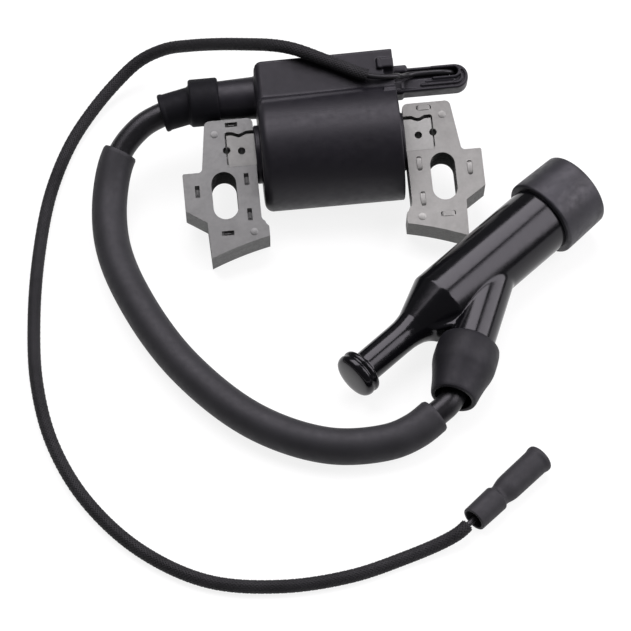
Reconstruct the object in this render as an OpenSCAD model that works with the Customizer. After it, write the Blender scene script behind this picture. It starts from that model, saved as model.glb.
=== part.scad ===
// Ignition coil of a small engine, with its spark-plug lead, plug cap and stop-switch wire.
// The coil lies on a table: on the back rim of its housing and on the tips of its two core legs.
// Millimetres. Z = 0 is the table. The coil's own frame has X along the winding, Y away from the
// flywheel and Z along the bolts, with its origin midway between the two bolt slots.

/* [Core] */
// Distance between the two bolt slots
slot_spacing = 62; // [60:0.5:64]
// Width of a bolt slot, for M6
slot_w = 7; // [6.4:0.1:7.4]
// Length of a bolt slot from end to end
slot_len = 14; // [12:0.5:15]
// Thickness of the stack of laminations
core_t = 10; // [9:0.5:11]
// Radius of the flywheel's magnet ring, which the pole faces follow
flywheel_r = 93.5; // [85:0.5:100]

/* [Housing] */
// Outer radius of the round front of the housing
housing_r = 16.5; // [16:0.1:17.2]
// Depth from the winding's axis to the open back of the housing
back_depth = 12.8; // [12.6:0.1:13.4]
// Height of the electronics box's front face above the winding's axis
box_front = 9.5; // [8:0.5:11]
// Wall thickness
wall = 1.8; // [1.5:0.1:2]

/* [Spark-plug lead] */
// Outer diameter of the spark-plug lead
lead_d = 7; // [6.8:0.1:7.2]
// Outer diameter of the sleeve over the lead
sleeve_d = 10.1; // [9.6:0.1:10.4]

/* [Plug cap] */
// Outer diameter of the cap's main tube
cap_tube_d = 19.5; // [19:0.1:20]
// Outer diameter of the rubber seal at its mouth
seal_d = 23.2; // [22.6:0.1:23.4]
// Angle between the handle and the branch that takes the lead
branch_angle = 28.8; // [28:0.1:30]

/* [Stop-switch wire] */
// Outer diameter of the thin wire
wire_d = 1.6; // [1.4:0.1:1.8]
// Outer diameter of the braided sleeve
braid_d = 3.6; // [3.2:0.1:3.8]
// Outer diameter of the bullet connector's insulator
insulator_d = 7.4; // [7:0.1:7.6]

/* [Hidden] */
$fn = 64;
eps = 0.01;

// Core, in the coil's own frame
slot_x = slot_spacing / 2;
front_z = core_t / 2;
axis_y = 13;                       // height of the winding's axis above the slots
leg_inner_x = 21.3;
leg_top_y = 22.5;
leg_top_x = 35.1;
ear_x = 42.4;
ear_root_x = 36.7;                 // where the leg's outer side meets the ear
ear_top_y = 7.4;
ear_root_r = 1.2;
ear_bottom_y = -3.7;
neck_x = 36.6;                     // where the ear's underside meets the leg
neck_y = -7.6;
toe_inner_x = 19.4;
toe_step_y = -9.4;
toe_corner_r = 1;
toe_fillet_r = 1.6;
toe_fillet_rise = 2.4;             // from the step to the fillet's centre
tip_x = 36.2;
tip_y = -18.3;
bar_h = 9.4;
bar_end_x = 29.1;                  // half the length of the centre bar
bar_top_y = axis_y + bar_h / 2;
wave_gap = 0.85;                   // open joint between the bar and the leg's upper lip
wave_h = 0.75;                     // depth of the dip in that joint
wave_x = 25.5;                     // middle of the dip
wave_half = 2.3;                   // half the dip's width
slit_w = 0.35;
slit_foot_y = 9;
core_hole_r = 1.05;
slit_hole_y = 13.3;
bar_hole = [25.1, 12.8];
mark_l = 4.2;                      // interlock marks pressed into the laminations
mark_w = 1.4;
mark_t = 0.3;
dimple_r = 1.1;

// Housing, in the coil's own frame
housing_left = -19.7;
housing_right = 19.9;
end_corner_r = 2.4;                // rounding of the left end
box_top_y = 37.6;
box_foot_y = 20;                   // how far the box reaches down into the round front
boss_r = 8.3;
boss_end_x = 21.2;
corner_r = 1.6;
tower_y = 30.2;                    // height of the tower's axis
tower_r = 5.7;
tower_end_x = -33.5;
arm_y = 30.4;
arm_w = 7.2;
arm_t = 5;
arm_end_x = 41.3;
eye_x = 37.3;
eye_y = 32.1;
eye_r = 1.25;
trough_floor = 0.6;
rib_r = 0.4;                       // ribs along the arm's lower half
rib_from_x = 28;
lip_r = 3;                         // raised lip round the eye
lip_h = 0.8;
notch_y = 30.3;
notch_w = 3.4;
notch_floor = 8.2;
hook = [15.6, 35.2, 10.5];         // where the hook beside the notch starts, ends and stands to
wire_hole_z = -4.3;

// The coil's rest: the back rim and the toes both touch the table
rim_half = sqrt(pow(housing_r, 2) - pow(back_depth, 2));
rest_tilt = atan((back_depth - front_z) / (axis_y - tip_y - rim_half));
axis_height = rim_half * sin(rest_tilt) + back_depth * cos(rest_tilt);
// The frame's origin is under the middle of the coil
origin_shift = [2.5, 2];

// Windings
bobbin_wall = 1;
bobbin_half = 16;
primary_t = 1.6;                   // build-up of the primary wire
primary_corner_r = 3;
secondary_in = 9.4;
secondary_tube = 0.9;
secondary_out = 12;
secondary_half = 14.6;
chambers = 7;                      // wound chambers of the secondary

// Collar on the tower
collar_start_x = -30.1;
collar_step_x = -38.6;
collar_end_x = -46.8;
collar_wide_r = 6.8;
collar_narrow_r = 5.25;
collar_bend_x = -36;               // where the rubber collar starts to bend
collar_bend = [0, -6, 10];         // how far it bends, about Y and about Z
collar_bore_r = lead_d / 2 + 0.05;

// Plug cap, in its own frame: X along the main tube towards the mouth, origin at the junction
cap_place = [42.5, -40.8, 11];
cap_turn = [2.8, -1.8, 39.4];
branch_x = 4.6;                    // where the branch's axis meets the main tube's
branch_dir = 180 + branch_angle;
cone_x = -19.6;                    // where the main tube ends and the cone begins
flare_x = -33.5;                   // where the cone flares out of the handle
rod_end = -51.5;                     // middle of the knob at the handle's end
rod_r = 4.4;
knob_r = 6.45;
knob_t = 4.6;
seal_start = 21.2;
seal_end = 35.8;
seal_lip = 2.2;                    // depth of the lip at the seal's mouth
mouth_r = 6.1;
plug_bore_r = 7.2;
plug_bore_end = 2.2;               // bottom of the main tube's bore
branch_r = 6.4;
// Pegs that the fork's web is stretched round: place in X and Y, radius, thickness
fork_web = [
    [-28.6, -4.8, 0.8, 6], [-26, -6.5, 0.8, 6.4], [-14, -2, 3, 9], [-16, -8, 2, 8]
];
branch_end = 35;
boot_start = 31.8;
boot_end = 49.6;
boot_r = 8.8;
boot_mouth_r = 5;
lead_bore_r = lead_d / 2 + 0.15;
lead_stop = 25;                    // where the lead ends inside the branch
clip_r = 3.9;
clip_bore_r = 3.25;
clip_start = 3.2;
clip_end = 13.5;

// Connector, in its own frame: X along the insulator towards its tip, origin at its rear end
connector_place = [28.8, -120.6, 4.1];
connector_turn = 41.4;
insulator_len = 27;
insulator_neck = 10.5;             // where the insulator is pinched
insulator_bore_r = 2.75;
bullet_bore_r = 1.97;

function to_table(p) = let (y = p[1] - axis_y) [
    p[0] + origin_shift[0],
    y * cos(rest_tilt) - p[2] * sin(rest_tilt) + origin_shift[1],
    y * sin(rest_tilt) + p[2] * cos(rest_tilt) + axis_height
];

function turn_x(p, a) = [p[0], p[1] * cos(a) - p[2] * sin(a), p[1] * sin(a) + p[2] * cos(a)];
function turn_y(p, a) = [p[0] * cos(a) + p[2] * sin(a), p[1], p[2] * cos(a) - p[0] * sin(a)];
function turn_z(p, a) = [p[0] * cos(a) - p[1] * sin(a), p[0] * sin(a) + p[1] * cos(a), p[2]];
function from_cap(p) =
    cap_place + turn_z(turn_y(turn_x(p, cap_turn[0]), cap_turn[1]), cap_turn[2]);
function on_branch(s) = from_cap([branch_x + s * cos(branch_dir), s * sin(branch_dir), 0]);
function from_connector(s) = connector_place + turn_z([s, 0, 0], connector_turn);

// Route of the spark-plug lead, from inside the tower to inside the plug cap
lead_start_x = -22;
pin_end_x = -25;
screw_end = 31.5;
lead_height = sleeve_d / 2 + 0.05;
lead_route = [
    to_table([lead_start_x, tower_y, 0]),
    to_table([-35.5, tower_y, 0]),
    to_table([-41, 29.3, -0.6]),
    to_table([-46.6, 28.1, -1.4]),
    [-50.3, 14.6, 17.5],
    [-57, 8.9, 13.5],
    [-60.8, -1.5, 8.4],
    [-61.3, -17.5, 5.3],
    [-56, -38, lead_height],
    [-44, -62.5, lead_height],
    [-26, -83.2, lead_height],
    [-7, -93.2, lead_height],
    [9, -93.9, 5.3],
    [16.6, -91.4, 5.9],
    [22.1, -87.8, 6.8],
    [26.8, -84.3, 8],
    on_branch(boot_end - 8.2),
    on_branch(lead_stop)
];
sleeve_first = 5;
sleeve_last = 14;

// Route of the stop-switch wire, from inside the housing to the bullet connector
braid_height = braid_d / 2;
on_box = box_front + braid_d / 2 + 0.15;
wire_route = [
    to_table([11.5, tower_y, wire_hole_z]),
    to_table([24, tower_y, wire_hole_z]),
    to_table([30, 31, wire_hole_z]),
    to_table([eye_x - 2.1, eye_y, -4.1]),
    to_table([eye_x - 0.3, eye_y, -2.9]),
    to_table([eye_x, eye_y, -0.9]),
    to_table([eye_x - 0.4, eye_y, 1.2]),
    to_table([eye_x - 2.2, eye_y, 2.2]),
    to_table([25, 31.9, 3.2]),
    to_table([22, 30.4, 6.3]),
    to_table([20.6, 29.6, 9.2]),
    to_table([17.1, 29.1, 10.6]),
    to_table([12, 29.7, on_box]),
    to_table([3, 34.2, on_box]),
    to_table([-8.9, 40, on_box]),
    [-20.1, 33.8, 27.5],
    [-34.3, 43.4, 18],
    [-42, 47.4, 12.8],
    [-49.5, 47.6, 8.4],
    [-57.3, 42.6, 4.8],
    [-64.8, 34.3, 2.7],
    [-71.5, 23.4, 1.9],
    [-78, 6, braid_height],
    [-82.4, -16, braid_height],
    [-84.8, -39, braid_height],
    [-85, -61, braid_height],
    [-81.6, -82, braid_height],
    [-73.5, -101.5, braid_height],
    [-60, -119, braid_height],
    [-43, -130.6, braid_height],
    [-24, -134.4, braid_height],
    [-5, -133.2, braid_height],
    [10, -129, braid_height],
    [19.8, -126, 2.8],
    [24.4, -124.2, 3.8],
    from_connector(-2.5),
    from_connector(7)
];
braid_first = 12;
braid_last = 35;

function unit(v) = v / norm(v);
function part_of(list, first, last) = [for (i = [first : last]) list[i]];
function along(path, i) =
    unit(path[min(i + 1, len(path) - 1)] - path[max(i - 1, 0)]);
function square_to(v, t) = unit(v - t * (v * t));
// One sideways direction per point, carried along the path without twisting
function side_ways(path) = [
    for (
        i = 0, s = square_to([0.1, 0.2, 1], along(path, 0));
        i < len(path);
        i = i + 1, s = i < len(path) ? square_to(s, along(path, i)) : s
    ) s
];
function ring(p, t, s, r, sides) = let (c = cross(t, s)) [
    for (k = [0 : sides - 1]) let (a = 360 * k / sides) p + r * (cos(a) * s + sin(a) * c)
];
function rings(path, r, sides) = let (ways = side_ways(path)) [
    for (i = [0 : len(path) - 1]) each ring(path[i], along(path, i), ways[i], r, sides)
];
// Walls of a tube whose rings start at point number base
function tube_walls(n, sides, base, outward) = [
    for (i = [0 : n - 2], k = [0 : sides - 1]) let (
        a = base + i * sides + k,
        b = base + i * sides + (k + 1) % sides,
        quad = [a, b, b + sides, a + sides]
    ) each outward
        ? [[quad[0], quad[2], quad[1]], [quad[0], quad[3], quad[2]]]
        : [[quad[0], quad[1], quad[2]], [quad[0], quad[2], quad[3]]]
];

module swept_rod(path, r, sides) {
    n = len(path);
    start_cap = [for (k = [0 : sides - 1]) k];
    end_cap = [for (k = [sides - 1 : -1 : 0]) (n - 1) * sides + k];
    polyhedron(
        points = rings(path, r, sides),
        faces = concat(tube_walls(n, sides, 0, true), [start_cap], [end_cap])
    );
}

module swept_tube(path, r_out, r_in, sides) {
    n = len(path);
    inner = n * sides;
    start_rim = [
        for (k = [0 : sides - 1]) let (m = (k + 1) % sides)
            each [[k, m, inner + m], [k, inner + m, inner + k]]
    ];
    last = (n - 1) * sides;
    end_rim = [
        for (k = [0 : sides - 1]) let (m = (k + 1) % sides)
            each [
                [last + k, inner + last + m, last + m],
                [last + k, inner + last + k, inner + last + m]
            ]
    ];
    polyhedron(
        points = concat(rings(path, r_out, sides), rings(path, r_in, sides)),
        faces = concat(
            tube_walls(n, sides, 0, true),
            tube_walls(n, sides, inner, false),
            start_rim,
            end_rim
        )
    );
}

module place_coil() {
    translate([origin_shift[0], origin_shift[1], axis_height])
        rotate([rest_tilt, 0, 0])
            translate([0, -axis_y, 0])
                children();
}

module place_cap() {
    translate(cap_place) rotate(cap_turn) children();
}

// From the cap's frame to the branch's: X along the branch, away from the main tube
module at_branch() {
    translate([branch_x, 0, 0]) rotate([0, 0, branch_dir]) children();
}

module place_branch() {
    place_cap() at_branch() children();
}

module place_connector() {
    translate(connector_place) rotate([0, 0, connector_turn]) children();
}

// A rod along X between two places
module rod_x(x0, x1, r) {
    translate([x0, 0, 0]) rotate([0, 90, 0]) cylinder(h = x1 - x0, r = r);
}

// A solid of revolution about X: points are [place along X, radius]
module turned_x(points) {
    rotate([0, 90, 0])
        rotate_extrude()
            polygon([for (p = points) [p[1], p[0]]]);
}

module slab(x0, x1, y0, y1, z0, z1) {
    translate([x0, y0, z0]) cube([x1 - x0, y1 - y0, z1 - z0]);
}

// ---------- Core ----------

function arc(cx, cy, r, a0, a1, steps) = [
    for (i = [0 : steps]) let (a = a0 + (a1 - a0) * i / steps) [cx + r * cos(a), cy + r * sin(a)]
];

// The flywheel's centre lies below the slots, where both ends of a pole face meet its radius
flywheel_y = tip_y - sqrt(pow(flywheel_r, 2) - pow(tip_x, 2));
pole_from = atan2(tip_y - flywheel_y, tip_x);
pole_to = acos(toe_inner_x / flywheel_r);

module leg_outline() {
    polygon(concat(
        arc(leg_inner_x + corner_r, leg_top_y - corner_r, corner_r, 180, 90, 6),
        arc(leg_top_x - corner_r, leg_top_y - corner_r, corner_r, 90, 5, 6),
        arc(ear_root_x + ear_root_r, ear_top_y + ear_root_r, ear_root_r, 185, 270, 5),
        [[ear_x - 0.4, ear_top_y - 0.1], [ear_x, ear_top_y - 0.5]],
        [[ear_x, ear_bottom_y]],
        [[neck_x, neck_y]],
        arc(0, flywheel_y, flywheel_r, pole_from, pole_to, 8),
        arc(toe_inner_x + toe_corner_r, toe_step_y - toe_corner_r, toe_corner_r, 180, 115, 4),
        arc(leg_inner_x - toe_fillet_r, toe_step_y + toe_fillet_rise, toe_fillet_r, -60, 0, 4)
    ));
}

// Upper edge of the centre bar's end, from where the bar ends to the leg's inner side
function wavy_edge(from_x, y, steps) = [
    for (i = [0 : steps])
        let (x = from_x + (leg_inner_x - from_x) * i / steps)
        [x, y - joint_dip(x)]
];

function joint_dip(x) = abs(x - wave_x) < wave_half
    ? wave_h / 2 * (1 + cos(180 * (x - wave_x) / wave_half))
    : 0;

// The notch that holds the end of the centre bar, with a wavy open joint above it
module bar_notch() {
    foot_y = bar_top_y - bar_h;
    slit_x = bar_end_x + slit_w;
    polygon(concat(
        [[leg_inner_x - 2, foot_y], [bar_end_x, foot_y]],
        [[bar_end_x, slit_foot_y], [slit_x, slit_foot_y]],
        wavy_edge(slit_x, bar_top_y + wave_gap, 16),
        [[leg_inner_x - 2, bar_top_y + wave_gap]]
    ));
}

module mark(x, y, upright) {
    size = upright ? [mark_w, mark_l] : [mark_l, mark_w];
    translate([x, y]) square(size, center = true);
}

module interlock_marks() {
    mark(27.4, 20.9, false);
    mark(24.5, 4.3, true);
    mark(24.5, -6.2, true);
    mark(31.1, -11.2, false);
    mark(38.6, 1.8, true);
}

module dimples() {
    translate([32.4, 18.4]) circle(r = dimple_r);
    translate([23.7, -11.4]) circle(r = dimple_r);
}

// A leg on the +X side; its pressed marks stand in one face and out of the other
module core_leg(marks_out) {
    difference() {
        linear_extrude(core_t, center = true) difference() {
            leg_outline();
            bar_notch();
        }
        for (end = [-1, 1])
            translate([slot_x, end * (slot_len - slot_w) / 2, -core_t])
                cylinder(h = 2 * core_t, d = slot_w);
        slab(
            slot_x - slot_w / 2, slot_x + slot_w / 2,
            -(slot_len - slot_w) / 2, (slot_len - slot_w) / 2,
            -core_t, core_t
        );
        translate([bar_end_x + slit_w / 2, slit_hole_y, -core_t])
            cylinder(h = 2 * core_t, r = core_hole_r);
        pressed_z = marks_out ? -front_z - eps : front_z - mark_t;
        translate([0, 0, pressed_z]) linear_extrude(mark_t + eps) {
            interlock_marks();
            dimples();
        }
    }
    raised_z = marks_out ? front_z : -front_z - mark_t;
    translate([0, 0, raised_z]) linear_extrude(mark_t) {
        interlock_marks();
        dimples();
    }
}

module left_core_leg() {
    color("darkgray") place_coil() mirror([1, 0, 0]) core_leg(false);
}

module right_core_leg() {
    color("silver") place_coil() core_leg(true);
}

module bar_outline() {
    right = concat([[bar_end_x, bar_top_y - bar_h]], wavy_edge(bar_end_x, bar_top_y, 16));
    left = [for (i = [len(right) - 1 : -1 : 0]) [-right[i][0], right[i][1]]];
    polygon(concat(right, left));
}

module core_centre_bar() {
    color("darkgray") place_coil() difference() {
        linear_extrude(core_t, center = true) bar_outline();
        for (side = [-1, 1]) {
            translate([side * (bar_end_x + slit_w / 2), slit_hole_y, -core_t])
                cylinder(h = 2 * core_t, r = core_hole_r);
            translate([side * bar_hole[0], bar_hole[1], -core_t])
                cylinder(h = 2 * core_t, r = core_hole_r);
        }
    }
}

// ---------- Housing ----------

// Round front and the box above it; grow is negative for the hollow inside, open at the back
module housing_block(grow) {
    x0 = housing_left - grow;
    x1 = housing_right + grow;
    y1 = box_top_y + grow;
    front = box_front + grow;
    r = end_corner_r + grow;
    back = grow < 0 ? -back_depth - 1 : -back_depth;
    difference() {
        union() {
            translate([0, axis_y, 0])
                turned_x(concat(
                    [[x0, 0]],
                    arc(x0 + r, housing_r + grow - r, r, 180, 90, 6),
                    [[x1, housing_r + grow], [x1, 0]]
                ));
            translate([0, 0, back])
                linear_extrude(front - back)
                    polygon(concat(
                        [[x0, box_foot_y], [x1, box_foot_y], [x1, y1]],
                        arc(x0 + r, y1 - r, r, 90, 180, 6)
                    ));
        }
        slab(x0 - 1, x1 + 1, -20, 60, -60, back);
    }
}

module guide_arm() {
    low_y = arm_y - arm_w / 2;
    difference() {
        union() {
            slab(
                housing_right - 1, arm_end_x - arm_w / 2,
                low_y, arm_y + arm_w / 2, -arm_t / 2, arm_t / 2
            );
            translate([arm_end_x - arm_w / 2, arm_y, -arm_t / 2])
                cylinder(h = arm_t, d = arm_w);
            // raised lip round the eye
            translate([eye_x, eye_y - 0.6, arm_t / 2 - eps]) cylinder(h = lip_h, r = lip_r);
            // ribs along the lower half
            for (y = [low_y + 1, low_y + 2.4])
                translate([0, y, arm_t / 2]) rod_x(rib_from_x, arm_end_x - arm_w / 2, rib_r);
            // collar and pip at the root
            slab(
                housing_right - 1, housing_right + 2.6,
                low_y - 0.4, arm_y, -arm_t / 2 - 0.3, arm_t / 2 + 0.3
            );
            slab(
                housing_right - 1, housing_right + 4.2,
                arm_y + arm_w / 2 - 1.4, arm_y + arm_w / 2 + 0.3, -arm_t / 2, arm_t / 2 + 0.9
            );
        }
        // trough for the wire
        slab(housing_right, eye_x, eye_y - 1.7, eye_y + 1.1, trough_floor, arm_t);
        translate([eye_x, eye_y, -arm_t]) cylinder(h = 2 * arm_t, r = eye_r);
    }
}

module coil_housing() {
    color("dimgray") place_coil() difference() {
        union() {
            difference() {
                union() {
                    housing_block(0);
                    translate([0, axis_y, 0]) rod_x(-boss_end_x, boss_end_x, boss_r);
                }
                housing_block(-wall);
            }
            translate([0, tower_y, 0]) rod_x(tower_end_x, housing_left + 0.5, tower_r);
            guide_arm();
            // bead where the round front meets the box
            translate([0, 25.6, box_front]) rod_x(housing_left + 2, housing_right - 2.5, 0.7);
            // hook beside the wire's notch
            slab(hook[0], housing_right, notch_y + notch_w / 2, hook[1], box_front - 1, hook[2]);
        }
        // the core runs through both ends
        slab(
            -30, 30, bar_top_y - bar_h, bar_top_y,
            -front_z, front_z
        );
        // the lead's hole in the tower
        translate([0, tower_y, 0]) rod_x(-60, -21.5, lead_d / 2 + 0.05);
        translate([0, tower_y, 0]) rod_x(-30, housing_left + wall + 1, 1.2);
        // notch and hole for the wire
        translate([housing_right, notch_y, notch_floor + notch_w / 2])
            rod_x(-3, 3, notch_w / 2);
        slab(
            housing_right - 3, housing_right + 3,
            notch_y - notch_w / 2, notch_y + notch_w / 2, notch_floor + notch_w / 2, 30
        );
        translate([0, tower_y, wire_hole_z])
            rod_x(housing_right - 3, housing_right + 4, wire_d / 2 + 0.1);
    }
}

pocket = [-13, 15, 28, 35, -10.6, 6.6];   // space for the electronics inside the potting
potting_depth = 0.4;                      // the potting stops this far inside the back rim

module potting_compound() {
    color("black") place_coil() difference() {
        housing_block(-wall);
        slab(-60, 60, -20, 60, -60, -back_depth + potting_depth);
        translate([0, axis_y, 0]) rod_x(-secondary_half, secondary_half, secondary_out);
        translate([0, axis_y, 0]) rod_x(-bobbin_half, bobbin_half, secondary_in);
        slab(-60, 60, bar_top_y - bar_h, bar_top_y, -front_z, front_z);
        slab(pocket[0], pocket[1], pocket[2], pocket[3], pocket[4], pocket[5]);
        translate([0, tower_y, 0]) rod_x(-18, pocket[0] + 1, 1.2);
        translate([0, tower_y, wire_hole_z]) rod_x(pocket[1] - 1, 30, wire_d / 2 + 0.1);
    }
}

// ---------- Windings ----------

module round_frame(x0, x1, half_y, half_z, r) {
    translate([x0, axis_y, 0]) rotate([90, 0, 90]) linear_extrude(x1 - x0) union() {
        square([2 * half_y - 2 * r, 2 * half_z], center = true);
        square([2 * half_y, 2 * half_z - 2 * r], center = true);
        for (sy = [-1, 1], sz = [-1, 1])
            translate([sy * (half_y - r), sz * (half_z - r)]) circle(r = r);
    }
}

bobbin_y = bar_h / 2 + bobbin_wall;
bobbin_z = front_z + bobbin_wall;
flange_t = 1;

module primary_bobbin() {
    color("ivory") place_coil() difference() {
        union() {
            round_frame(-bobbin_half, bobbin_half, bobbin_y, bobbin_z, 0.8);
            for (x = [-bobbin_half, bobbin_half - flange_t])
                translate([0, axis_y, 0]) rod_x(x, x + flange_t, secondary_in - 0.1);
        }
        slab(-60, 60, bar_top_y - bar_h, bar_top_y, -front_z, front_z);
    }
}

module primary_winding() {
    w = bobbin_half - flange_t;
    color("chocolate") place_coil() difference() {
        round_frame(-w, w, bobbin_y + primary_t, bobbin_z + primary_t, primary_corner_r);
        round_frame(-w - 1, w + 1, bobbin_y, bobbin_z, 0.8);
    }
}

chamber_flange = 0.7;
chamber_pitch = (2 * secondary_half - chamber_flange) / chambers;

module secondary_bobbin() {
    color("ivory") place_coil() translate([0, axis_y, 0]) difference() {
        union() {
            rod_x(-secondary_half, secondary_half, secondary_in + secondary_tube);
            for (i = [0 : chambers])
                rod_x(
                    -secondary_half + i * chamber_pitch,
                    -secondary_half + i * chamber_pitch + chamber_flange,
                    secondary_out
                );
        }
        rod_x(-60, 60, secondary_in);
    }
}

module secondary_winding() {
    color("peru") place_coil() translate([0, axis_y, 0])
        for (i = [0 : chambers - 1]) difference() {
            rod_x(
                -secondary_half + i * chamber_pitch + chamber_flange,
                -secondary_half + (i + 1) * chamber_pitch,
                secondary_out - 0.3
            );
            rod_x(-60, 60, secondary_in + secondary_tube);
        }
}

// ---------- Electronics ----------

board_y = 28;
board_t = 1.2;
lift = board_y + board_t;

module ignition_board() {
    color("darkgreen") place_coil() slab(-11, 13, board_y, lift, -9.5, 5.5);
}

module switching_transistor() {
    color("black") place_coil() {
        slab(-9, -1, lift, lift + 3.2, -4, 4.5);
        for (x = [-7.5, -5, -2.5]) slab(x - 0.4, x + 0.4, lift, lift + 0.5, -8, -4);
    }
}

module trigger_transistor() {
    color("black") place_coil() {
        slab(1, 4, lift, lift + 1.4, 1, 4);
        for (x = [1.5, 3.5]) slab(x - 0.25, x + 0.25, lift, lift + 0.4, 0.2, 1);
    }
}

module board_resistors() {
    color("tan") place_coil()
        for (z = [-7.5, -4.5, -1.5]) translate([0, lift + 1, z]) {
            rod_x(2, 8, 1);
            rod_x(1, 9, 0.3);
        }
}

module board_diode() {
    color("darkred") place_coil() translate([0, lift + 0.9, 3]) {
        rod_x(6, 11, 0.9);
        rod_x(5, 12, 0.25);
    }
}

module ht_terminal_pin() {
    color("gold") place_coil() translate([0, tower_y, 0]) {
        rod_x(lead_start_x + 0.4, -11.5, 1.1);
        rod_x(pin_end_x, lead_start_x + 0.4, 0.7);
    }
}

// ---------- Spark-plug lead ----------

// Rubber collar: straight over the tower, then bent a little the way the lead leaves
module tower_collar() {
    rim = 1.4;
    narrow = collar_bend_x - collar_end_x;
    color("black") place_coil() difference() {
        union() {
            translate([0, tower_y, 0]) rod_x(collar_step_x, collar_start_x, collar_wide_r);
            translate([collar_bend_x, tower_y, 0]) rotate(collar_bend) {
                rod_x(-narrow, 0, collar_narrow_r);
                rod_x(-narrow, rim - narrow, collar_narrow_r + 0.4);
            }
        }
        translate([0, tower_y, 0]) rod_x(tower_end_x, collar_start_x + 5, tower_r);
        translate([0, tower_y, 0]) rod_x(collar_bend_x - 1, -20, collar_bore_r);
        translate([collar_bend_x, tower_y, 0]) rotate(collar_bend)
            rod_x(-20, 0, collar_bore_r + 0.3);
    }
}

lead_sides = 12;
core_r = 0.9;

module ht_lead() {
    color("black") swept_tube(lead_route, lead_d / 2, core_r, lead_sides);
}

// The core stops short of the terminal pin at one end and of the screw at the other
module ht_lead_core() {
    last = len(lead_route) - 2;
    route = concat(
        [to_table([pin_end_x - 0.2, tower_y, 0])],
        part_of(lead_route, 1, last),
        [on_branch(screw_end + 0.2)]
    );
    color("orange") swept_rod(route, core_r - 0.03, lead_sides);
}

module lead_protective_sleeve() {
    route = part_of(lead_route, sleeve_first, sleeve_last);
    color("dimgray") swept_tube(route, sleeve_d / 2, lead_d / 2 + 0.4, lead_sides);
}

// ---------- Plug cap ----------

module cap_profile() {
    turned_x([
        [rod_end - knob_t / 2, 0],
        [rod_end - knob_t / 2, knob_r - 1.2],
        [rod_end - knob_t / 2 + 0.5, knob_r - 0.3],
        [rod_end - 0.7, knob_r],
        [rod_end - 0.3, knob_r - 0.8],
        [rod_end + 0.3, knob_r - 0.8],
        [rod_end + 0.7, knob_r],
        [rod_end + knob_t / 2 - 0.5, knob_r - 0.3],
        [rod_end + knob_t / 2, knob_r - 1],
        [rod_end + knob_t / 2, rod_r],
        [flare_x, rod_r + 0.05],
        [flare_x + 1.5, rod_r + 0.25],
        [flare_x + 3.3, rod_r + 0.7],
        [cone_x, cap_tube_d / 2],
        [seal_end - seal_lip, cap_tube_d / 2],
        [seal_end - seal_lip, 0]
    ]);
}

module plug_cap_body() {
    color("black") place_cap() difference() {
        union() {
            cap_profile();
            at_branch() rod_x(0, branch_end, branch_r);
            // web in the fork between the handle and the branch
            hull() {
                for (w = fork_web)
                    translate([w[0], w[1], 0])
                        cylinder(h = w[3], r = w[2], center = true, $fn = 32);
            }
        }
        rod_x(plug_bore_end, 60, plug_bore_r);
        rod_x(-3.2, 10, 4);
        at_branch() rod_x(junction_start, lead_stop, 3.4);
        at_branch() rod_x(lead_stop - 0.3, 60, lead_bore_r);
    }
}

module cap_mouth_seal() {
    near_r = seal_d / 2;
    far_r = seal_d / 2 - 0.4;
    color("dimgray") place_cap() difference() {
        turned_x([
            [seal_start, 0], [seal_start, near_r - 0.8], [seal_start + 0.8, near_r],
            [seal_end - 1.2, far_r], [seal_end - 0.4, far_r - 0.4],
            [seal_end, far_r - 1.2], [seal_end, 0]
        ]);
        rod_x(seal_start - 1, seal_end - seal_lip, cap_tube_d / 2);
        rod_x(seal_start - 1, seal_end + 1, mouth_r);
    }
}

module cap_lead_boot() {
    color("dimgray") place_branch() difference() {
        turned_x([
            [boot_start, 0], [boot_start, boot_r - 0.8], [boot_start + 0.8, boot_r - 0.3],
            [boot_start + 2.5, boot_r], [boot_start + 7, boot_r],
            [boot_start + 8.6, boot_r - 0.25], [boot_start + 10.2, boot_r - 0.8],
            [boot_end - 3.6, boot_r - 1.8], [boot_end - 0.8, boot_r - 2.4],
            [boot_end, boot_r - 2.9], [boot_end, 0]
        ]);
        rod_x(boot_start - 1, branch_end, branch_r);
        turned_x([
            [branch_end - eps, 0], [branch_end - eps, branch_r - 0.8],
            [boot_end + 1, boot_mouth_r], [boot_end + 1, 0]
        ]);
    }
}

module plug_terminal_clip() {
    color("gold") place_cap() difference() {
        rod_x(clip_start, clip_end, clip_r);
        rod_x(clip_start + 1.3, clip_end + 1, clip_bore_r);
        slab(clip_start + 2, clip_end + 1, -0.5, 0.5, 0, 6);
    }
}

junction_start = 5;                // the contact's arm along the branch, from here to junction_end
junction_end = 9;

module junction_contact() {
    color("gold") place_cap() {
        rod_x(-3.2, clip_start, 3.9);
        at_branch() rod_x(junction_start, junction_end, 3.2);
    }
}

spring_end = 13;
resistor_end = 22.6;
spring_turns = 3;
spring_wire = 0.7;
spring_r = 2.3;

module contact_spring() {
    steps = 14 * spring_turns;
    span = spring_end - junction_end - spring_wire;
    route = [
        for (i = [0 : steps]) let (a = 360 * spring_turns * i / steps) [
            junction_end + spring_wire / 2 + span * i / steps,
            spring_r * cos(a),
            spring_r * sin(a)
        ]
    ];
    color("silver") place_branch() swept_rod(route, spring_wire / 2, 6);
}

module suppressor_resistor() {
    color("tan") place_branch() {
        rod_x(spring_end, spring_end + 1, 3);
        rod_x(spring_end + 1, resistor_end - 1, 2.8);
        rod_x(resistor_end - 1, resistor_end, 3);
    }
}

screw_r = 0.8;

module lead_screw_terminal() {
    color("gold") place_branch() {
        rod_x(resistor_end, lead_stop - 0.3, 3.1);
        turned_x([
            [lead_stop - 0.3 - eps, 0], [lead_stop - 0.3 - eps, screw_r],
            [screw_end - 1.5, screw_r], [screw_end, 0]
        ]);
    }
}

// ---------- Stop-switch wire ----------

module ground_wire() {
    color("black") swept_rod(wire_route, wire_d / 2, 8);
}

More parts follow.
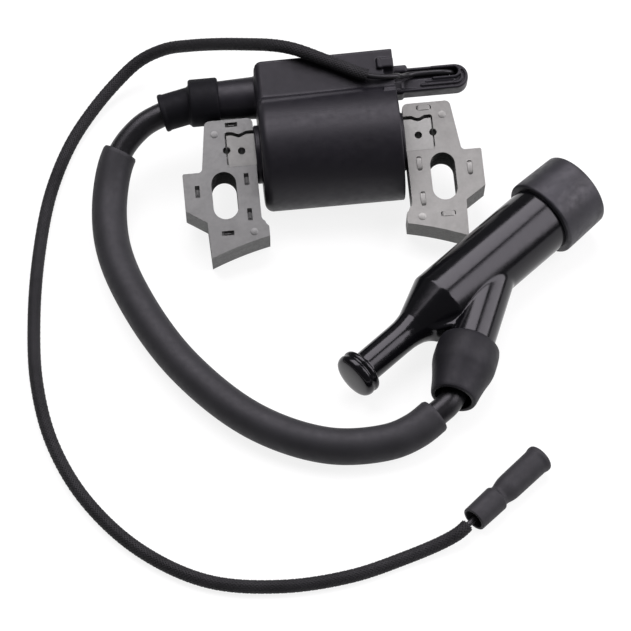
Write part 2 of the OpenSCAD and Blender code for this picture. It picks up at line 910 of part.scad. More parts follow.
module braided_sleeve() {
    route = part_of(wire_route, braid_first, braid_last);
    color("dimgray") swept_tube(route, braid_d / 2, wire_d / 2 + 0.15, 8);
}

module bullet_terminal() {
    color("gold") place_connector() difference() {
        turned_x([
            [2.5, 0], [2.5, 1.5], [8.5, 1.5], [9, 2.4], [24.5, 2.4], [24.5, 0]
        ]);
        rod_x(0, 8, wire_d / 2);
        rod_x(11, 30, bullet_bore_r);
        slab(12, 30, -0.3, 0.3, 0, 5);
    }
}

module connector_insulator() {
    rear_r = insulator_d / 2 - 0.2;
    front_r = insulator_d / 2;
    color("black") place_connector() difference() {
        turned_x([
            [0, 0], [0, rear_r - 0.2], [0.4, rear_r],
            [insulator_neck - 1.2, rear_r], [insulator_neck - 0.4, rear_r - 0.3],
            [insulator_neck, rear_r - 0.6], [insulator_neck + 0.5, rear_r - 0.6],
            [insulator_neck + 2.2, front_r],
            [insulator_len - 1.6, front_r], [insulator_len - 0.9, front_r + 0.35],
            [insulator_len, front_r + 0.2], [insulator_len, 0]
        ]);
        rod_x(-1, insulator_len + 1, insulator_bore_r);
    }
}

left_core_leg();
right_core_leg();
core_centre_bar();
coil_housing();
potting_compound();
primary_bobbin();
primary_winding();
secondary_bobbin();
secondary_winding();
ignition_board();
switching_transistor();
trigger_transistor();
board_resistors();
board_diode();
ht_terminal_pin();
tower_collar();
ht_lead();
ht_lead_core();
lead_protective_sleeve();
plug_cap_body();
cap_mouth_seal();
cap_lead_boot();
plug_terminal_clip();
junction_contact();
contact_spring();
suppressor_resistor();
lead_screw_terminal();
ground_wire();
braided_sleeve();
bullet_terminal();
connector_insulator();
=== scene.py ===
"""Looks of the ignition coil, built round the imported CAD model.
Lengths in this script are in millimetres, in one of five frames: the table (TABLE), the coil (COIL: X
along the winding, Z along the bolts), the plug cap (CAP: X along its main tube), the cap's branch for
the lead (BRANCH: X along it) and the connector (CONNECTOR: X along it). Meshes are in metres."""

import math

import bmesh
import bpy
import numpy as np
from mathutils import Euler, Matrix, Vector


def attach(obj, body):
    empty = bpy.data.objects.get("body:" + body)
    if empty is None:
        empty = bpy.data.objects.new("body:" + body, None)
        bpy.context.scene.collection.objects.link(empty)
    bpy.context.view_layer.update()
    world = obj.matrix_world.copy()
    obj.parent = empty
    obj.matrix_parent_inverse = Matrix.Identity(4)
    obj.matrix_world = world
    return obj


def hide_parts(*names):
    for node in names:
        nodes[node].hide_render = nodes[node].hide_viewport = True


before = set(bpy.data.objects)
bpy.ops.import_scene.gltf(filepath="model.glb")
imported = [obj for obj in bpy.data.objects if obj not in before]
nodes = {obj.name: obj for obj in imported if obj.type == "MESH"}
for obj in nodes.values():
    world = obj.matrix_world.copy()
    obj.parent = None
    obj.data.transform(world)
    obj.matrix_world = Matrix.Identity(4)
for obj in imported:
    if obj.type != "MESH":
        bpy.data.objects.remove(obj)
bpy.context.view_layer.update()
scene = bpy.context.scene

MM = 0.001


# ---------------------------------------------------------------- frames and sizes

CORE_T = 10.0
AXIS_Y = 13.0
BACK = 12.8
BOX_FRONT = 9.5
HOUSING_R = 16.5
HOUSING_LEFT = -19.7
HOUSING_RIGHT = 19.9
BOX_TOP = 37.6
WALL = 1.8
TOE_Y = -18.3
TOWER_Y = 30.2
LEAD_D = 7.0
SLEEVE_D = 10.1
WIRE_D = 1.6
BRAID_D = 3.6

rim_half = math.sqrt(HOUSING_R**2 - BACK**2)
TILT = math.atan((BACK - CORE_T / 2) / (AXIS_Y - TOE_Y - rim_half))
AXIS_HEIGHT = rim_half * math.sin(TILT) + BACK * math.cos(TILT)

COIL = (
    Matrix.Translation((2.5, 2.0, AXIS_HEIGHT))
    @ Matrix.Rotation(TILT, 4, "X")
    @ Matrix.Translation((0, -AXIS_Y, 0))
)
CAP_TURN = [math.radians(a) for a in (2.8, -1.8, 39.4)]
CAP = Matrix.Translation((42.5, -40.8, 11)) @ Euler(CAP_TURN, "XYZ").to_matrix().to_4x4()
BRANCH_X = 4.6
BRANCH_DIR = math.radians(180 + 28.8)
BRANCH = CAP @ Matrix.Translation((BRANCH_X, 0, 0)) @ Matrix.Rotation(BRANCH_DIR, 4, "Z")
CONNECTOR = Matrix.Translation((28.8, -120.6, 4.1)) @ Matrix.Rotation(math.radians(41.4), 4, "Z")
TABLE = Matrix.Identity(4)


def at(place, x, y, z):
    """A point of one of the frames, on the table, in millimetres."""
    return np.array(place @ Vector((x, y, z)))


def on_branch(s):
    return at(BRANCH, s, 0, 0)


def on_connector(s):
    return at(CONNECTOR, s, 0, 0)


# ---------------------------------------------------------------- camera

CAMERA_PLACE_MM = (-38.7, -617.9, 757.5)
CAMERA_RIGHT = (0.99528, -0.09299, -0.02791)
CAMERA_UP = (0.09095, 0.79245, 0.60313)
LENS_MM = 194
SENSOR_MM = 36


def add_camera():
    """A long lens, looking down at the table from the front."""
    data = bpy.data.cameras.new("camera")
    camera = bpy.data.objects.new("camera", data)
    scene.collection.objects.link(camera)
    right = Vector(CAMERA_RIGHT)
    up = Vector(CAMERA_UP)
    turn = Matrix((right, up, right.cross(up))).transposed().to_4x4()
    camera.matrix_world = Matrix.Translation(Vector(CAMERA_PLACE_MM) * MM) @ turn
    data.sensor_width = SENSOR_MM
    data.lens = LENS_MM
    data.clip_start = 0.05
    data.clip_end = 20
    scene.camera = camera


add_camera()


# ---------------------------------------------------------------- mesh helpers

def new_piece(name, verts, faces, place, body, material, stands_for):
    """A smooth mesh piece from points in one of the frames, in millimetres, in place of CAD nodes."""
    points = np.asarray(verts, float)
    turn = np.array(place)
    world = (points @ turn[:3, :3].T + turn[:3, 3]) * MM
    mesh = bpy.data.meshes.new(name)
    mesh.from_pydata(world.tolist(), [], faces)
    mesh.update()
    mesh.materials.append(material)
    mesh.shade_smooth()
    obj = bpy.data.objects.new(name, mesh)
    scene.collection.objects.link(obj)
    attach(obj, body)
    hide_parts(*stands_for)
    return obj


def sharpen(obj, degrees):
    """Edges steeper than this stay crisp."""
    obj.data.set_sharp_from_angle(angle=math.radians(degrees))
    return obj


def spline(points, step):
    """Evenly spaced points on a smooth curve through the given ones (centripetal Catmull-Rom)."""
    p = np.asarray(points, float)
    p = np.vstack((2 * p[0] - p[1], p, 2 * p[-1] - p[-2]))
    fine = []
    for i in range(1, len(p) - 2):
        a, b, c, d = p[i - 1 : i + 3]
        t1 = np.linalg.norm(b - a) ** 0.5
        t2 = t1 + np.linalg.norm(c - b) ** 0.5
        t3 = t2 + np.linalg.norm(d - c) ** 0.5
        t = np.linspace(t1, t2, 24, endpoint=False)[:, None]
        ab = (t1 - t) / t1 * a + t / t1 * b
        bc = (t2 - t) / (t2 - t1) * b + (t - t1) / (t2 - t1) * c
        cd = (t3 - t) / (t3 - t2) * c + (t - t2) / (t3 - t2) * d
        abc = (t2 - t) / t2 * ab + t / t2 * bc
        bcd = (t3 - t) / (t3 - t1) * bc + (t - t1) / (t3 - t1) * cd
        fine.append((t2 - t) / (t2 - t1) * abc + (t - t1) / (t2 - t1) * bcd)
    fine = np.vstack(fine + [p[-2][None]])
    return even(fine, step)


def even(points, step):
    """The same line with its points a fixed distance apart."""
    run = run_of(points)
    count = max(2, int(round(run[-1] / step)) + 1)
    s = np.linspace(0, run[-1], count)
    return np.stack([np.interp(s, run, points[:, k]) for k in range(3)], 1)


def run_of(points):
    """How far along the line each point lies."""
    gaps = np.linalg.norm(np.diff(points, axis=0), axis=1)
    return np.concatenate(([0], np.cumsum(gaps)))


def frames_along(path):
    """Tangents and two sideways directions at each point, carried along without twisting."""
    tangents = np.gradient(path, axis=0)
    tangents /= np.linalg.norm(tangents, axis=1)[:, None]
    side = np.array([0.1, 0.2, 1.0])
    sides = []
    for t in tangents:
        side = side - t * (side @ t)
        side /= np.linalg.norm(side)
        sides.append(side)
    sides = np.array(sides)
    return tangents, sides, np.cross(tangents, sides)


def tube_mesh(path, radii, inner, count):
    """A tube along a path, open at both ends. radii holds the outer radius at each point."""
    _, side, other = frames_along(path)
    angle = np.linspace(0, 2 * math.pi, count, endpoint=False)
    around = np.cos(angle)[None, :, None] * side[:, None] + np.sin(angle)[None, :, None] * other[:, None]
    shell = path[:, None] + np.asarray(radii)[:, None, None] * around
    bore = path[::-1][:, None] + inner * around[::-1]
    loops = np.vstack((shell, bore))
    return loops.reshape(-1, 3), ring_faces(len(loops), count, closed=True)


def ring_faces(rings, count, closed=False):
    """Quads between rings of count points each; a closed run joins the last ring to the first."""
    faces = []
    for i in range(rings if closed else rings - 1):
        j = (i + 1) % rings
        for k in range(count):
            m = (k + 1) % count
            faces.append((i * count + k, i * count + m, j * count + m, j * count + k))
    return faces


def lathe(profile, count=96):
    """A closed ring or solid turned about X. profile holds (x, radius) pairs."""
    profile = np.asarray(profile, float)
    angle = np.linspace(0, 2 * math.pi, count, endpoint=False)
    x = np.repeat(profile[:, 0], count)
    y = np.outer(profile[:, 1], np.cos(angle)).ravel()
    z = np.outer(profile[:, 1], np.sin(angle)).ravel()
    return np.stack((x, y, z), 1), ring_faces(len(profile), count, closed=True)


def rounded(points, radius, steps=4):
    """A closed outline with its corners rounded. Each point is (a, b) or (a, b, its own radius)."""
    out = []
    n = len(points)
    for i in range(n):
        before = np.array(points[i - 1][:2], float)
        here = np.array(points[i][:2], float)
        after = np.array(points[(i + 1) % n][:2], float)
        r = points[i][2] if len(points[i]) > 2 else radius
        u = before - here
        v = after - here
        reach = min(r, 0.45 * np.linalg.norm(u), 0.45 * np.linalg.norm(v))
        if reach <= 1e-6:
            out.append(tuple(here))
            continue
        start = here + u / np.linalg.norm(u) * reach
        end = here + v / np.linalg.norm(v) * reach
        for k in range(steps + 1):
            t = k / steps
            out.append(tuple((1 - t) ** 2 * start + 2 * t * (1 - t) * here + t * t * end))
    return out


# ---------------------------------------------------------------- moulded shapes
# A moulded piece is a field: its value at a point is the distance to the surface, negative inside.

def length(*parts):
    return np.sqrt(sum(p * p for p in parts))


def blend_in(a, b, k):
    """Union of two shapes with a fillet of about k."""
    h = np.clip(k - np.abs(a - b), 0, None) / k
    return np.minimum(a, b) - h * h * k * 0.25


def cut_out(a, b, k=0.3):
    """Shape a less shape b, with the edge eased by about k."""
    return -blend_in(-a, b, k)


def rod(x, y, z, x0, x1, r, ease=0.3):
    """A rod along x with eased ends."""
    across = length(y, z) - r + ease
    along = np.abs(x - (x0 + x1) / 2) - (x1 - x0) / 2 + ease
    outside = length(np.maximum(across, 0), np.maximum(along, 0))
    return outside + np.minimum(np.maximum(across, along), 0) - ease


def block(x, y, z, low, high, ease=0.3):
    """A box with eased edges."""
    q = [
        np.abs(v - (a + b) / 2) - (b - a) / 2 + ease
        for v, a, b in zip((x, y, z), low, high)
    ]
    outside = length(*[np.maximum(v, 0) for v in q])
    return outside + np.minimum(np.maximum(np.maximum(q[0], q[1]), q[2]), 0) - ease


def turned(x, y, z, stations, radii, ease=0.5):
    """A solid of revolution about x whose radius follows the stations smoothly."""
    fine = np.linspace(stations[0], stations[-1], 800)
    curve = np.interp(fine, stations, radii)
    window = np.hanning(9)[1:-1]
    soft = np.convolve(np.pad(curve, 3, "edge"), window / window.sum(), "valid")
    radius = np.interp(x, fine, soft)
    slope = np.interp(x, fine, np.gradient(soft, fine))
    side = (length(y, z) - radius) / np.sqrt(1 + slope**2)
    ends = np.abs(x - (stations[0] + stations[-1]) / 2) - (stations[-1] - stations[0]) / 2
    return cut_out(side, -ends, ease)


def skin(field, low, high, step):
    """Points and quads of a field's surface (surface nets), pulled on to the surface itself."""
    low = np.array(low, float)
    high = np.array(high, float)
    counts = np.ceil((high - low) / step).astype(int) + 1
    axes = [low[i] + step * np.arange(counts[i]) for i in range(3)]
    value = field(*np.meshgrid(*axes, indexing="ij"))
    inside = value < 0
    corners = [(a, b, c) for a in (0, 1) for b in (0, 1) for c in (0, 1)]
    cut = tuple(slice(0, n - 1) for n in counts)

    def shifted(grid, corner):
        return grid[tuple(slice(o, n - 1 + o) for o, n in zip(corner, counts))]

    total = sum(shifted(inside, c).astype(np.int8) for c in corners)
    active = (total > 0) & (total < 8)
    number = -np.ones(active.shape, int)
    number[active] = np.arange(active.sum())
    cell = np.argwhere(active)
    at_corner = np.stack([shifted(value, c)[active] for c in corners], 1)
    total_point = np.zeros((len(cell), 3))
    crossings = np.zeros(len(cell))
    for a in range(8):
        for b in range(a + 1, 8):
            ca, cb = np.array(corners[a]), np.array(corners[b])
            if np.abs(ca - cb).sum() != 1:
                continue
            va, vb = at_corner[:, a], at_corner[:, b]
            crosses = (va < 0) != (vb < 0)
            t = np.where(crosses, va / np.where(crosses, va - vb, 1), 0)
            total_point += np.where(crosses[:, None], ca + t[:, None] * (cb - ca), 0)
            crossings += crosses
    points = low + step * (cell + total_point / crossings[:, None])
    quads = []
    for axis in range(3):
        u, v = [k for k in range(3) if k != axis]
        first = [slice(1, n - 1) for n in counts]
        first[axis] = slice(0, counts[axis] - 1)
        second = list(first)
        second[axis] = slice(1, counts[axis])
        a = inside[tuple(first)]
        b = inside[tuple(second)]
        flips = a != b
        where = np.argwhere(flips)
        where[:, u] += 1
        where[:, v] += 1
        ring = []
        for du, dv in ((0, 0), (1, 0), (1, 1), (0, 1)):
            q = where.copy()
            q[:, u] -= du
            q[:, v] -= dv
            ring.append(number[q[:, 0], q[:, 1], q[:, 2]])
        ring = np.stack(ring, 1)
        turn_over = a[flips] if axis != 1 else ~a[flips]
        ring[~turn_over] = ring[~turn_over][:, ::-1]
        quads.append(ring)
    faces = np.vstack(quads)
    for _ in range(2):
        points = pulled(field, points, step)
    return points, faces.tolist()


def pulled(field, points, step):
    """The points, each moved down the field's slope on to its surface."""
    h = 0.05 * step
    value = field(*points.T)
    slope = np.stack(
        [
            (field(*(points + h * axis).T) - field(*(points - h * axis).T)) / (2 * h)
            for axis in np.eye(3)
        ],
        1,
    )
    size = np.maximum((slope**2).sum(1), 0.2)
    move = -slope * (value / size)[:, None]
    far = np.linalg.norm(move, axis=1)
    move *= np.minimum(1, 0.4 * step / np.maximum(far, 1e-9))[:, None]
    return points + move


# ---------------------------------------------------------------- materials

class Surface:
    """A procedural material round one Principled shader, fed from object coordinates."""

    def __init__(self, name, roughness, metallic=0.0, specular=0.33):
        self.material = bpy.data.materials.new(name)
        self.material.use_nodes = True
        self.nodes = self.material.node_tree.nodes
        self.links = self.material.node_tree.links
        self.shader = self.nodes["Principled BSDF"]
        self.shader.inputs["Roughness"].default_value = roughness
        self.shader.inputs["Metallic"].default_value = metallic
        self.shader.inputs["Specular IOR Level"].default_value = specular
        self.place = self.nodes.new("ShaderNodeTexCoord").outputs["Object"]

    def noise(self, per_mm, detail=3.0, stretch=(1, 1, 1)):
        """Noise with a given number of features per millimetre."""
        mapping = self.nodes.new("ShaderNodeMapping")
        mapping.inputs["Scale"].default_value = [1000 * per_mm * s for s in stretch]
        self.links.new(self.place, mapping.inputs["Vector"])
        noise = self.nodes.new("ShaderNodeTexNoise")
        noise.inputs["Scale"].default_value = 1.0
        noise.inputs["Detail"].default_value = detail
        self.links.new(mapping.outputs["Vector"], noise.inputs["Vector"])
        return noise.outputs["Fac"]

    def between(self, value, low, high, start=0.3, end=0.7):
        """A value mapped from start..end to low..high."""
        node = self.nodes.new("ShaderNodeMapRange")
        node.inputs["From Min"].default_value = start
        node.inputs["From Max"].default_value = end
        node.inputs["To Min"].default_value = low
        node.inputs["To Max"].default_value = high
        self.links.new(value, node.inputs["Value"])
        return node.outputs["Result"]

    def colours(self, value, *stops):
        """A value turned into colour. Each stop is (position, (r, g, b))."""
        ramp = self.nodes.new("ShaderNodeValToRGB")
        elements = ramp.color_ramp.elements
        while len(elements) < len(stops):
            elements.new(0.5)
        for element, (position, colour) in zip(elements, stops):
            element.position = position
            element.color = (*colour, 1)
        self.links.new(value, ramp.inputs["Fac"])
        return ramp.outputs["Color"]

    def multiply(self, colour, value):
        mix = self.nodes.new("ShaderNodeMix")
        mix.data_type = "RGBA"
        mix.blend_type = "MULTIPLY"
        mix.inputs["Factor"].default_value = 1.0
        self.links.new(colour, mix.inputs["A"])
        self.links.new(value, mix.inputs["B"])
        return mix.outputs["Result"]

    def along(self, axis):
        """Place along X, Y or Z, in metres."""
        node = self.nodes.new("ShaderNodeSeparateXYZ")
        self.links.new(self.place, node.inputs["Vector"])
        return node.outputs[axis]

    def larger(self, a, b):
        node = self.nodes.new("ShaderNodeMath")
        node.operation = "MAXIMUM"
        self.links.new(a, node.inputs[0])
        self.links.new(b, node.inputs[1])
        return node.outputs["Value"]

    def attribute(self, name):
        node = self.nodes.new("ShaderNodeAttribute")
        node.attribute_name = name
        return node.outputs["Fac"]

    def base(self, colour):
        self.links.new(colour, self.shader.inputs["Base Color"])

    def rough(self, value):
        self.links.new(value, self.shader.inputs["Roughness"])

    def bump(self, value, height_mm, strength=1.0):
        node = self.nodes.new("ShaderNodeBump")
        node.inputs["Distance"].default_value = height_mm * MM
        node.inputs["Strength"].default_value = strength
        self.links.new(value, node.inputs["Height"])
        before = self.shader.inputs["Normal"].links
        if before:
            self.links.new(before[0].from_socket, node.inputs["Normal"])
        self.links.new(node.outputs["Normal"], self.shader.inputs["Normal"])


COOL_SHEEN = (0.96, 0.93, 1.0)


def shade(colour, factor):
    return tuple(c * factor for c in colour)


def moulded(name, colour, roughness, grain, grain_mm, mottle=0.25, spread=0.12, specular=0.33):
    """Moulded plastic or rubber: fine grain, faint mottling and uneven sheen."""
    s = Surface(name, roughness, 0.0, specular)
    s.shader.inputs["Specular Tint"].default_value = (*COOL_SHEEN, 1)
    broad = s.noise(0.12, 4.0)
    s.base(s.colours(broad, (0.25, shade(colour, 1 - mottle)), (0.75, shade(colour, 1 + mottle))))
    s.rough(s.between(s.noise(0.5, 5.0), roughness - spread / 2, roughness + spread / 2))
    s.bump(s.noise(grain, 3.0), grain_mm)
    s.bump(s.noise(0.25, 2.0), grain_mm * 3)
    return s.material


def steel(name, colour, roughness, axis, start_mm, end_mm, factor):
    """Cold-rolled sheet steel with an oily mottle and rolling lines; by end_mm its colour is darker by
    factor, a painted shade gradient.
    """
    s = Surface(name, roughness, 0.6, 0.5)
    mottle = s.noise(0.35, 6.0)
    colour = s.colours(mottle, (0.3, shade(colour, 0.92)), (0.7, shade(colour, 1.06)))
    tone = s.attribute("tone")
    colour = s.multiply(colour, tone)
    # painted shade: the colour darkens along axis from start_mm to end_mm
    s.base(s.multiply(colour, s.between(s.along(axis), 1.0, factor, start_mm * MM, end_mm * MM)))
    sheen = s.between(s.noise(1.2, 5.0), roughness - 0.07, roughness + 0.08)
    s.rough(s.larger(sheen, s.between(tone, 1.0, 0.0, 0.08, 0.3)))
    s.bump(s.noise(2.5, 4.0, (0.2, 2.0, 1.0)), 0.006)
    s.bump(s.noise(1.1, 3.0), 0.01)
    return s.material


def wound(name, colour):
    """Enamelled wire laid turn by turn round the coil's axis."""
    s = Surface(name, 0.3, 0.7)
    s.base(s.colours(s.noise(1.5, 2.0, (4, 0.4, 0.4)), (0.3, shade(colour, 0.6)), (0.7, shade(colour, 1.2))))
    s.bump(s.noise(3.0, 1.0, (2, 0.1, 0.1)), 0.05)
    return s.material


def metal(name, colour, roughness):
    s = Surface(name, roughness, 1.0)
    s.base(s.colours(s.noise(0.8, 5.0), (0.3, shade(colour, 0.8)), (0.7, shade(colour, 1.1))))
    s.rough(s.between(s.noise(2.0, 5.0), roughness - 0.06, roughness + 0.1))
    s.bump(s.noise(5.0, 3.0), 0.004)
    return s.material


HOUSING_BLACK = moulded("housing_black", (0.0076, 0.0070, 0.0096), 0.47, 3.0, 0.010, 0.15, specular=0.29)
COLLAR_RUBBER = moulded("collar_rubber_black", (0.0045, 0.0045, 0.006), 0.62, 3.0, 0.012, specular=0.12)
SLEEVE_BLACK = moulded("sleeve_black", (0.018, 0.0178, 0.020), 0.6, 2.0, 0.012, 0.2)
LEAD_BLACK = moulded("lead_black", (0.007, 0.007, 0.008), 0.36, 2.5, 0.01)
CAP_BLACK = moulded("cap_black", (0.003, 0.003, 0.0038), 0.17, 1.0, 0.003, 0.2, 0.06)
SEAL_RUBBER = moulded("seal_rubber_black", (0.0125, 0.0122, 0.0155), 0.47, 3.0, 0.014, 0.6, 0.2, 0.45)
BOOT_RUBBER = moulded("boot_rubber_black", (0.0085, 0.0083, 0.0105), 0.54, 3.0, 0.014, 0.5, specular=0.25)
INSULATOR_BLACK = moulded("insulator_black", (0.0175, 0.0172, 0.0195), 0.62, 2.0, 0.012, 0.3)
WIRE_BLACK = moulded("wire_black", (0.011, 0.011, 0.012), 0.35, 3.0, 0.006)
BRAID_BLACK = moulded("braid_black", (0.0068, 0.0068, 0.0075), 0.65, 6.0, 0.03, 0.6)
EPOXY_BLACK = moulded("potting_black", (0.012, 0.012, 0.014), 0.15, 0.6, 0.02, 0.2, 0.08)
BOBBIN_NYLON = moulded("bobbin_nylon", (0.62, 0.56, 0.44), 0.45, 3.0, 0.008)
BOARD_GREEN = moulded("board_green", (0.02, 0.14, 0.05), 0.35, 2.0, 0.006)
CASE_BLACK = moulded("case_black", (0.02, 0.02, 0.02), 0.6, 5.0, 0.01)
CERAMIC_TAN = moulded("ceramic_tan", (0.45, 0.33, 0.18), 0.4, 4.0, 0.006)
DIODE_RED = moulded("diode_red", (0.25, 0.04, 0.02), 0.2, 2.0, 0.003)
# One steel in three colours, each with its own gradient: painted light and shade for how the lamps fall on
# the left leg, right leg and bar
STEEL_LEFT = steel("core_steel_left", (0.16, 0.16, 0.16), 0.5, "Y", 8, -22, 0.9)
STEEL_RIGHT = steel("core_steel_right", (0.254, 0.251, 0.244), 0.5, "Y", -22, 22, 0.61)
STEEL_BAR = steel("core_steel_bar", (0.244, 0.243, 0.237), 0.5, "X", 25, -20, 0.755)
COPPER = wound("winding_copper", (0.60, 0.25, 0.10))
BRASS = metal("brass", (0.72, 0.53, 0.22), 0.25)
COPPER_CORE = metal("copper_core", (0.70, 0.33, 0.16), 0.35)
TINNED = metal("tinned", (0.62, 0.60, 0.56), 0.25)
SPRING_STEEL = metal("spring_steel", (0.5, 0.5, 0.5), 0.3)


# ---------------------------------------------------------------- cords

TABLE_GAP = 0.05
LEAD_HEIGHT = SLEEVE_D / 2 + TABLE_GAP
LEAD_ROUTE = [
    at(COIL, -22, TOWER_Y, 0),
    at(COIL, -35.5, TOWER_Y, 0),
    at(COIL, -41, 29.3, -0.6),
    at(COIL, -46.6, 28.1, -1.4),
    (-50.3, 14.6, 17.5),
    (-57, 8.9, 13.5),
    (-60.8, -1.5, 8.4),
    (-61.3, -17.5, 5.3),
    (-56, -38, LEAD_HEIGHT),
    (-44, -62.5, LEAD_HEIGHT),
    (-26, -83.2, LEAD_HEIGHT),
    (-7, -93.2, LEAD_HEIGHT),
    (9, -93.9, 5.3),
    (16.6, -91.4, 5.9),
    (22.1, -87.8, 6.8),
    (26.8, -84.3, 8),
    on_branch(41.4),
    on_branch(25),
]
SLEEVE_FIRST = 5
SLEEVE_LAST = 14

BRAID_HEIGHT = BRAID_D / 2
ON_BOX = BOX_FRONT + BRAID_D / 2 + 0.15    # the braid's middle, where it lies on the box
EYE_X = 37.3
EYE_Y = 32.1
NOTCH_Y = 30.3
WIRE_HOLE_Z = -4.3
WIRE_ROUTE = [
    at(COIL, 11.5, TOWER_Y, WIRE_HOLE_Z),
    at(COIL, 24, TOWER_Y, WIRE_HOLE_Z),
    at(COIL, 30, 31, WIRE_HOLE_Z),
    at(COIL, EYE_X - 2.1, EYE_Y, -4.1),
    at(COIL, EYE_X - 0.3, EYE_Y, -2.9),
    at(COIL, EYE_X, EYE_Y, -0.9),
    at(COIL, EYE_X - 0.4, EYE_Y, 1.2),
    at(COIL, EYE_X - 2.2, EYE_Y, 2.2),
    at(COIL, 25, 31.9, 3.2),
    at(COIL, 22, 30.4, 6.3),
    at(COIL, 20.6, 29.6, 9.2),
    at(COIL, 17.1, 29.1, 10.6),
    at(COIL, 12, 29.7, ON_BOX),
    at(COIL, 3, 34.2, ON_BOX),
    at(COIL, -8.9, 40, ON_BOX),
    (-20.1, 33.8, 27.5),
    (-34.3, 43.4, 18),
    (-42, 47.4, 12.8),
    (-49.5, 47.6, 8.4),
    (-57.3, 42.6, 4.8),
    (-64.8, 34.3, 2.7),
    (-71.5, 23.4, 1.9),
    (-78, 6, BRAID_HEIGHT),
    (-82.4, -16, BRAID_HEIGHT),
    (-84.8, -39, BRAID_HEIGHT),
    (-85, -61, BRAID_HEIGHT),
    (-81.6, -82, BRAID_HEIGHT),
    (-73.5, -101.5, BRAID_HEIGHT),
    (-60, -119, BRAID_HEIGHT),
    (-43, -130.6, BRAID_HEIGHT),
    (-24, -134.4, BRAID_HEIGHT),
    (-5, -133.2, BRAID_HEIGHT),
    (10, -129, BRAID_HEIGHT),
    (19.8, -126, 2.8),
    (24.4, -124.2, 3.8),
    on_connector(-2.5),
    on_connector(7),
]
BRAID_FIRST = 12
BRAID_LAST = 35

LEAD_STEP = 0.6
WIRE_STEP = 0.4


def stretch_of(path, start, end):
    """The points of a fine path between its nearest points to start and end."""
    first = np.linalg.norm(path - start, axis=1).argmin()
    last = np.linalg.norm(path - end, axis=1).argmin()
    return path[first : last + 1]


def add_tube(name, path, radius, inner, material, stands_for, count=36):
    """A hose on the coil's body, whose rims turn in a little at each end."""
    run = run_of(path)
    ease = 0.5
    ends = np.minimum(run, run[-1] - run)
    dip = np.clip(1 - ends / ease, 0, 1)
    radii = radius - ease * 0.5 * dip**2
    verts, faces = tube_mesh(path, radii, inner, count)
    return sharpen(new_piece(name, verts, faces, TABLE, "coil", material, stands_for), 50)


lead_path = spline(LEAD_ROUTE, LEAD_STEP)
wire_path = spline(WIRE_ROUTE, WIRE_STEP)
sleeve_path = stretch_of(lead_path, LEAD_ROUTE[SLEEVE_FIRST], LEAD_ROUTE[SLEEVE_LAST])
braid_path = stretch_of(wire_path, WIRE_ROUTE[BRAID_FIRST], WIRE_ROUTE[BRAID_LAST])

LEAD_CORE_HOLE_R = 0.92
WIRE_HOLE_R = 0.3
SLEEVE_SLACK = 0.4
BRAID_SLACK = 0.15
lead = add_tube(
    "ht_lead_jacket", lead_path, LEAD_D / 2, LEAD_CORE_HOLE_R, LEAD_BLACK,
    ["ht_lead"],
)
sleeve = add_tube(
    "lead_sleeve", sleeve_path, SLEEVE_D / 2 - TABLE_GAP, LEAD_D / 2 + SLEEVE_SLACK,
    SLEEVE_BLACK, ["lead_protective_sleeve"], 48,
)
wire = add_tube(
    "thin_wire", wire_path, WIRE_D / 2, WIRE_HOLE_R, WIRE_BLACK,
    ["ground_wire"], 16,
)


def braid_mesh(path, radius, inner):
    """A plaited tube: ribbons of fibre wind both ways and pass over and under each other."""
    ways = 12
    pitch = 12.0
    ribbon = 0.6
    thick = 0.2
    section = ((-1, -0.2), (-0.6, 0.75), (0, 1), (0.6, 0.75), (1, -0.2), (0, -0.5))
    sides = len(section)
    run = run_of(path)
    _, side, other = frames_along(path)
    verts, faces = [], []
    base = 0
    n = len(path)
    for way in (1, -1):
        for k in range(ways):
            angle = way * 2 * math.pi * run / pitch + 2 * math.pi * k / ways
            weave = np.cos(2 * ways * math.pi * run / pitch + math.pi * k) * way
            height = radius - thick * 0.5 + thick * 0.4 * weave
            out = np.cos(angle)[:, None] * side + np.sin(angle)[:, None] * other
            centre = path + height[:, None] * out
            along = np.gradient(centre, axis=0)
            along /= np.linalg.norm(along, axis=1)[:, None]
            wide = np.cross(along, out)
            for a, b in section:
                verts.append(centre + wide * (a * ribbon / 2) + out * (b * thick / 2))
            for e in range(sides):
                row = base + e * n
                next_row = base + (e + 1) % sides * n
                faces += [(row + i, next_row + i, next_row + i + 1, row + i + 1) for i in range(n - 1)]
            faces.append([base + e * n for e in range(sides)][::-1])
            faces.append([base + e * n + n - 1 for e in range(sides)])
            base += sides * n
    core, core_faces = tube_mesh(path, np.full(n, radius - thick), inner, 16)
    verts = np.vstack(verts + [core])
    faces += [tuple(base + v for v in f) for f in core_faces]
    return verts, faces


verts, faces = braid_mesh(braid_path, BRAID_D / 2, WIRE_D / 2 + BRAID_SLACK)
braid = new_piece(
    "braid", verts, faces, TABLE, "coil", BRAID_BLACK, ["braided_sleeve"],
)


# ---------------------------------------------------------------- core

SLOT_X = 31.0
SLOT_R = 3.5
SLOT_HALF = 3.5                       # from the slot's middle to the centre of its round end
LEG_IN = 21.3
LEG_TOP_X = 35.1
LEG_TOP_Y = 22.5
EAR_X = 42.4
EAR_TOP = 7.4
EAR_ROOT_X = 36.7
BAR_END = 29.1
SLIT = 0.42
SLIT_FOOT = 9.0
SLIT_HOLE_Y = 13.3
BAR_HOLE = (25.1, 12.8)
BAR_BOTTOM = AXIS_Y - 4.7
BAR_TOP = AXIS_Y + 4.7
DIP = 0.75
DIP_X = 25.5
DIP_HALF = 2.3
WAVE_GAP = 1.0
HOLE_R = 1.05
FLYWHEEL_R = 93.5
TOE_X = 19.4
TOE_STEP = -9.4
TIP_X = 36.2
SHEET = 0.5


def arc(cx, cy, r, a0, a1, steps):
    angles = [math.radians(a0 + (a1 - a0) * i / steps) for i in range(steps + 1)]
    return [(cx + r * math.cos(a), cy + r * math.sin(a)) for a in angles]


def dip(x):
    if abs(x - DIP_X) > DIP_HALF:
        return 0.0
    return DIP / 2 * (1 + math.cos(math.pi * (x - DIP_X) / DIP_HALF))


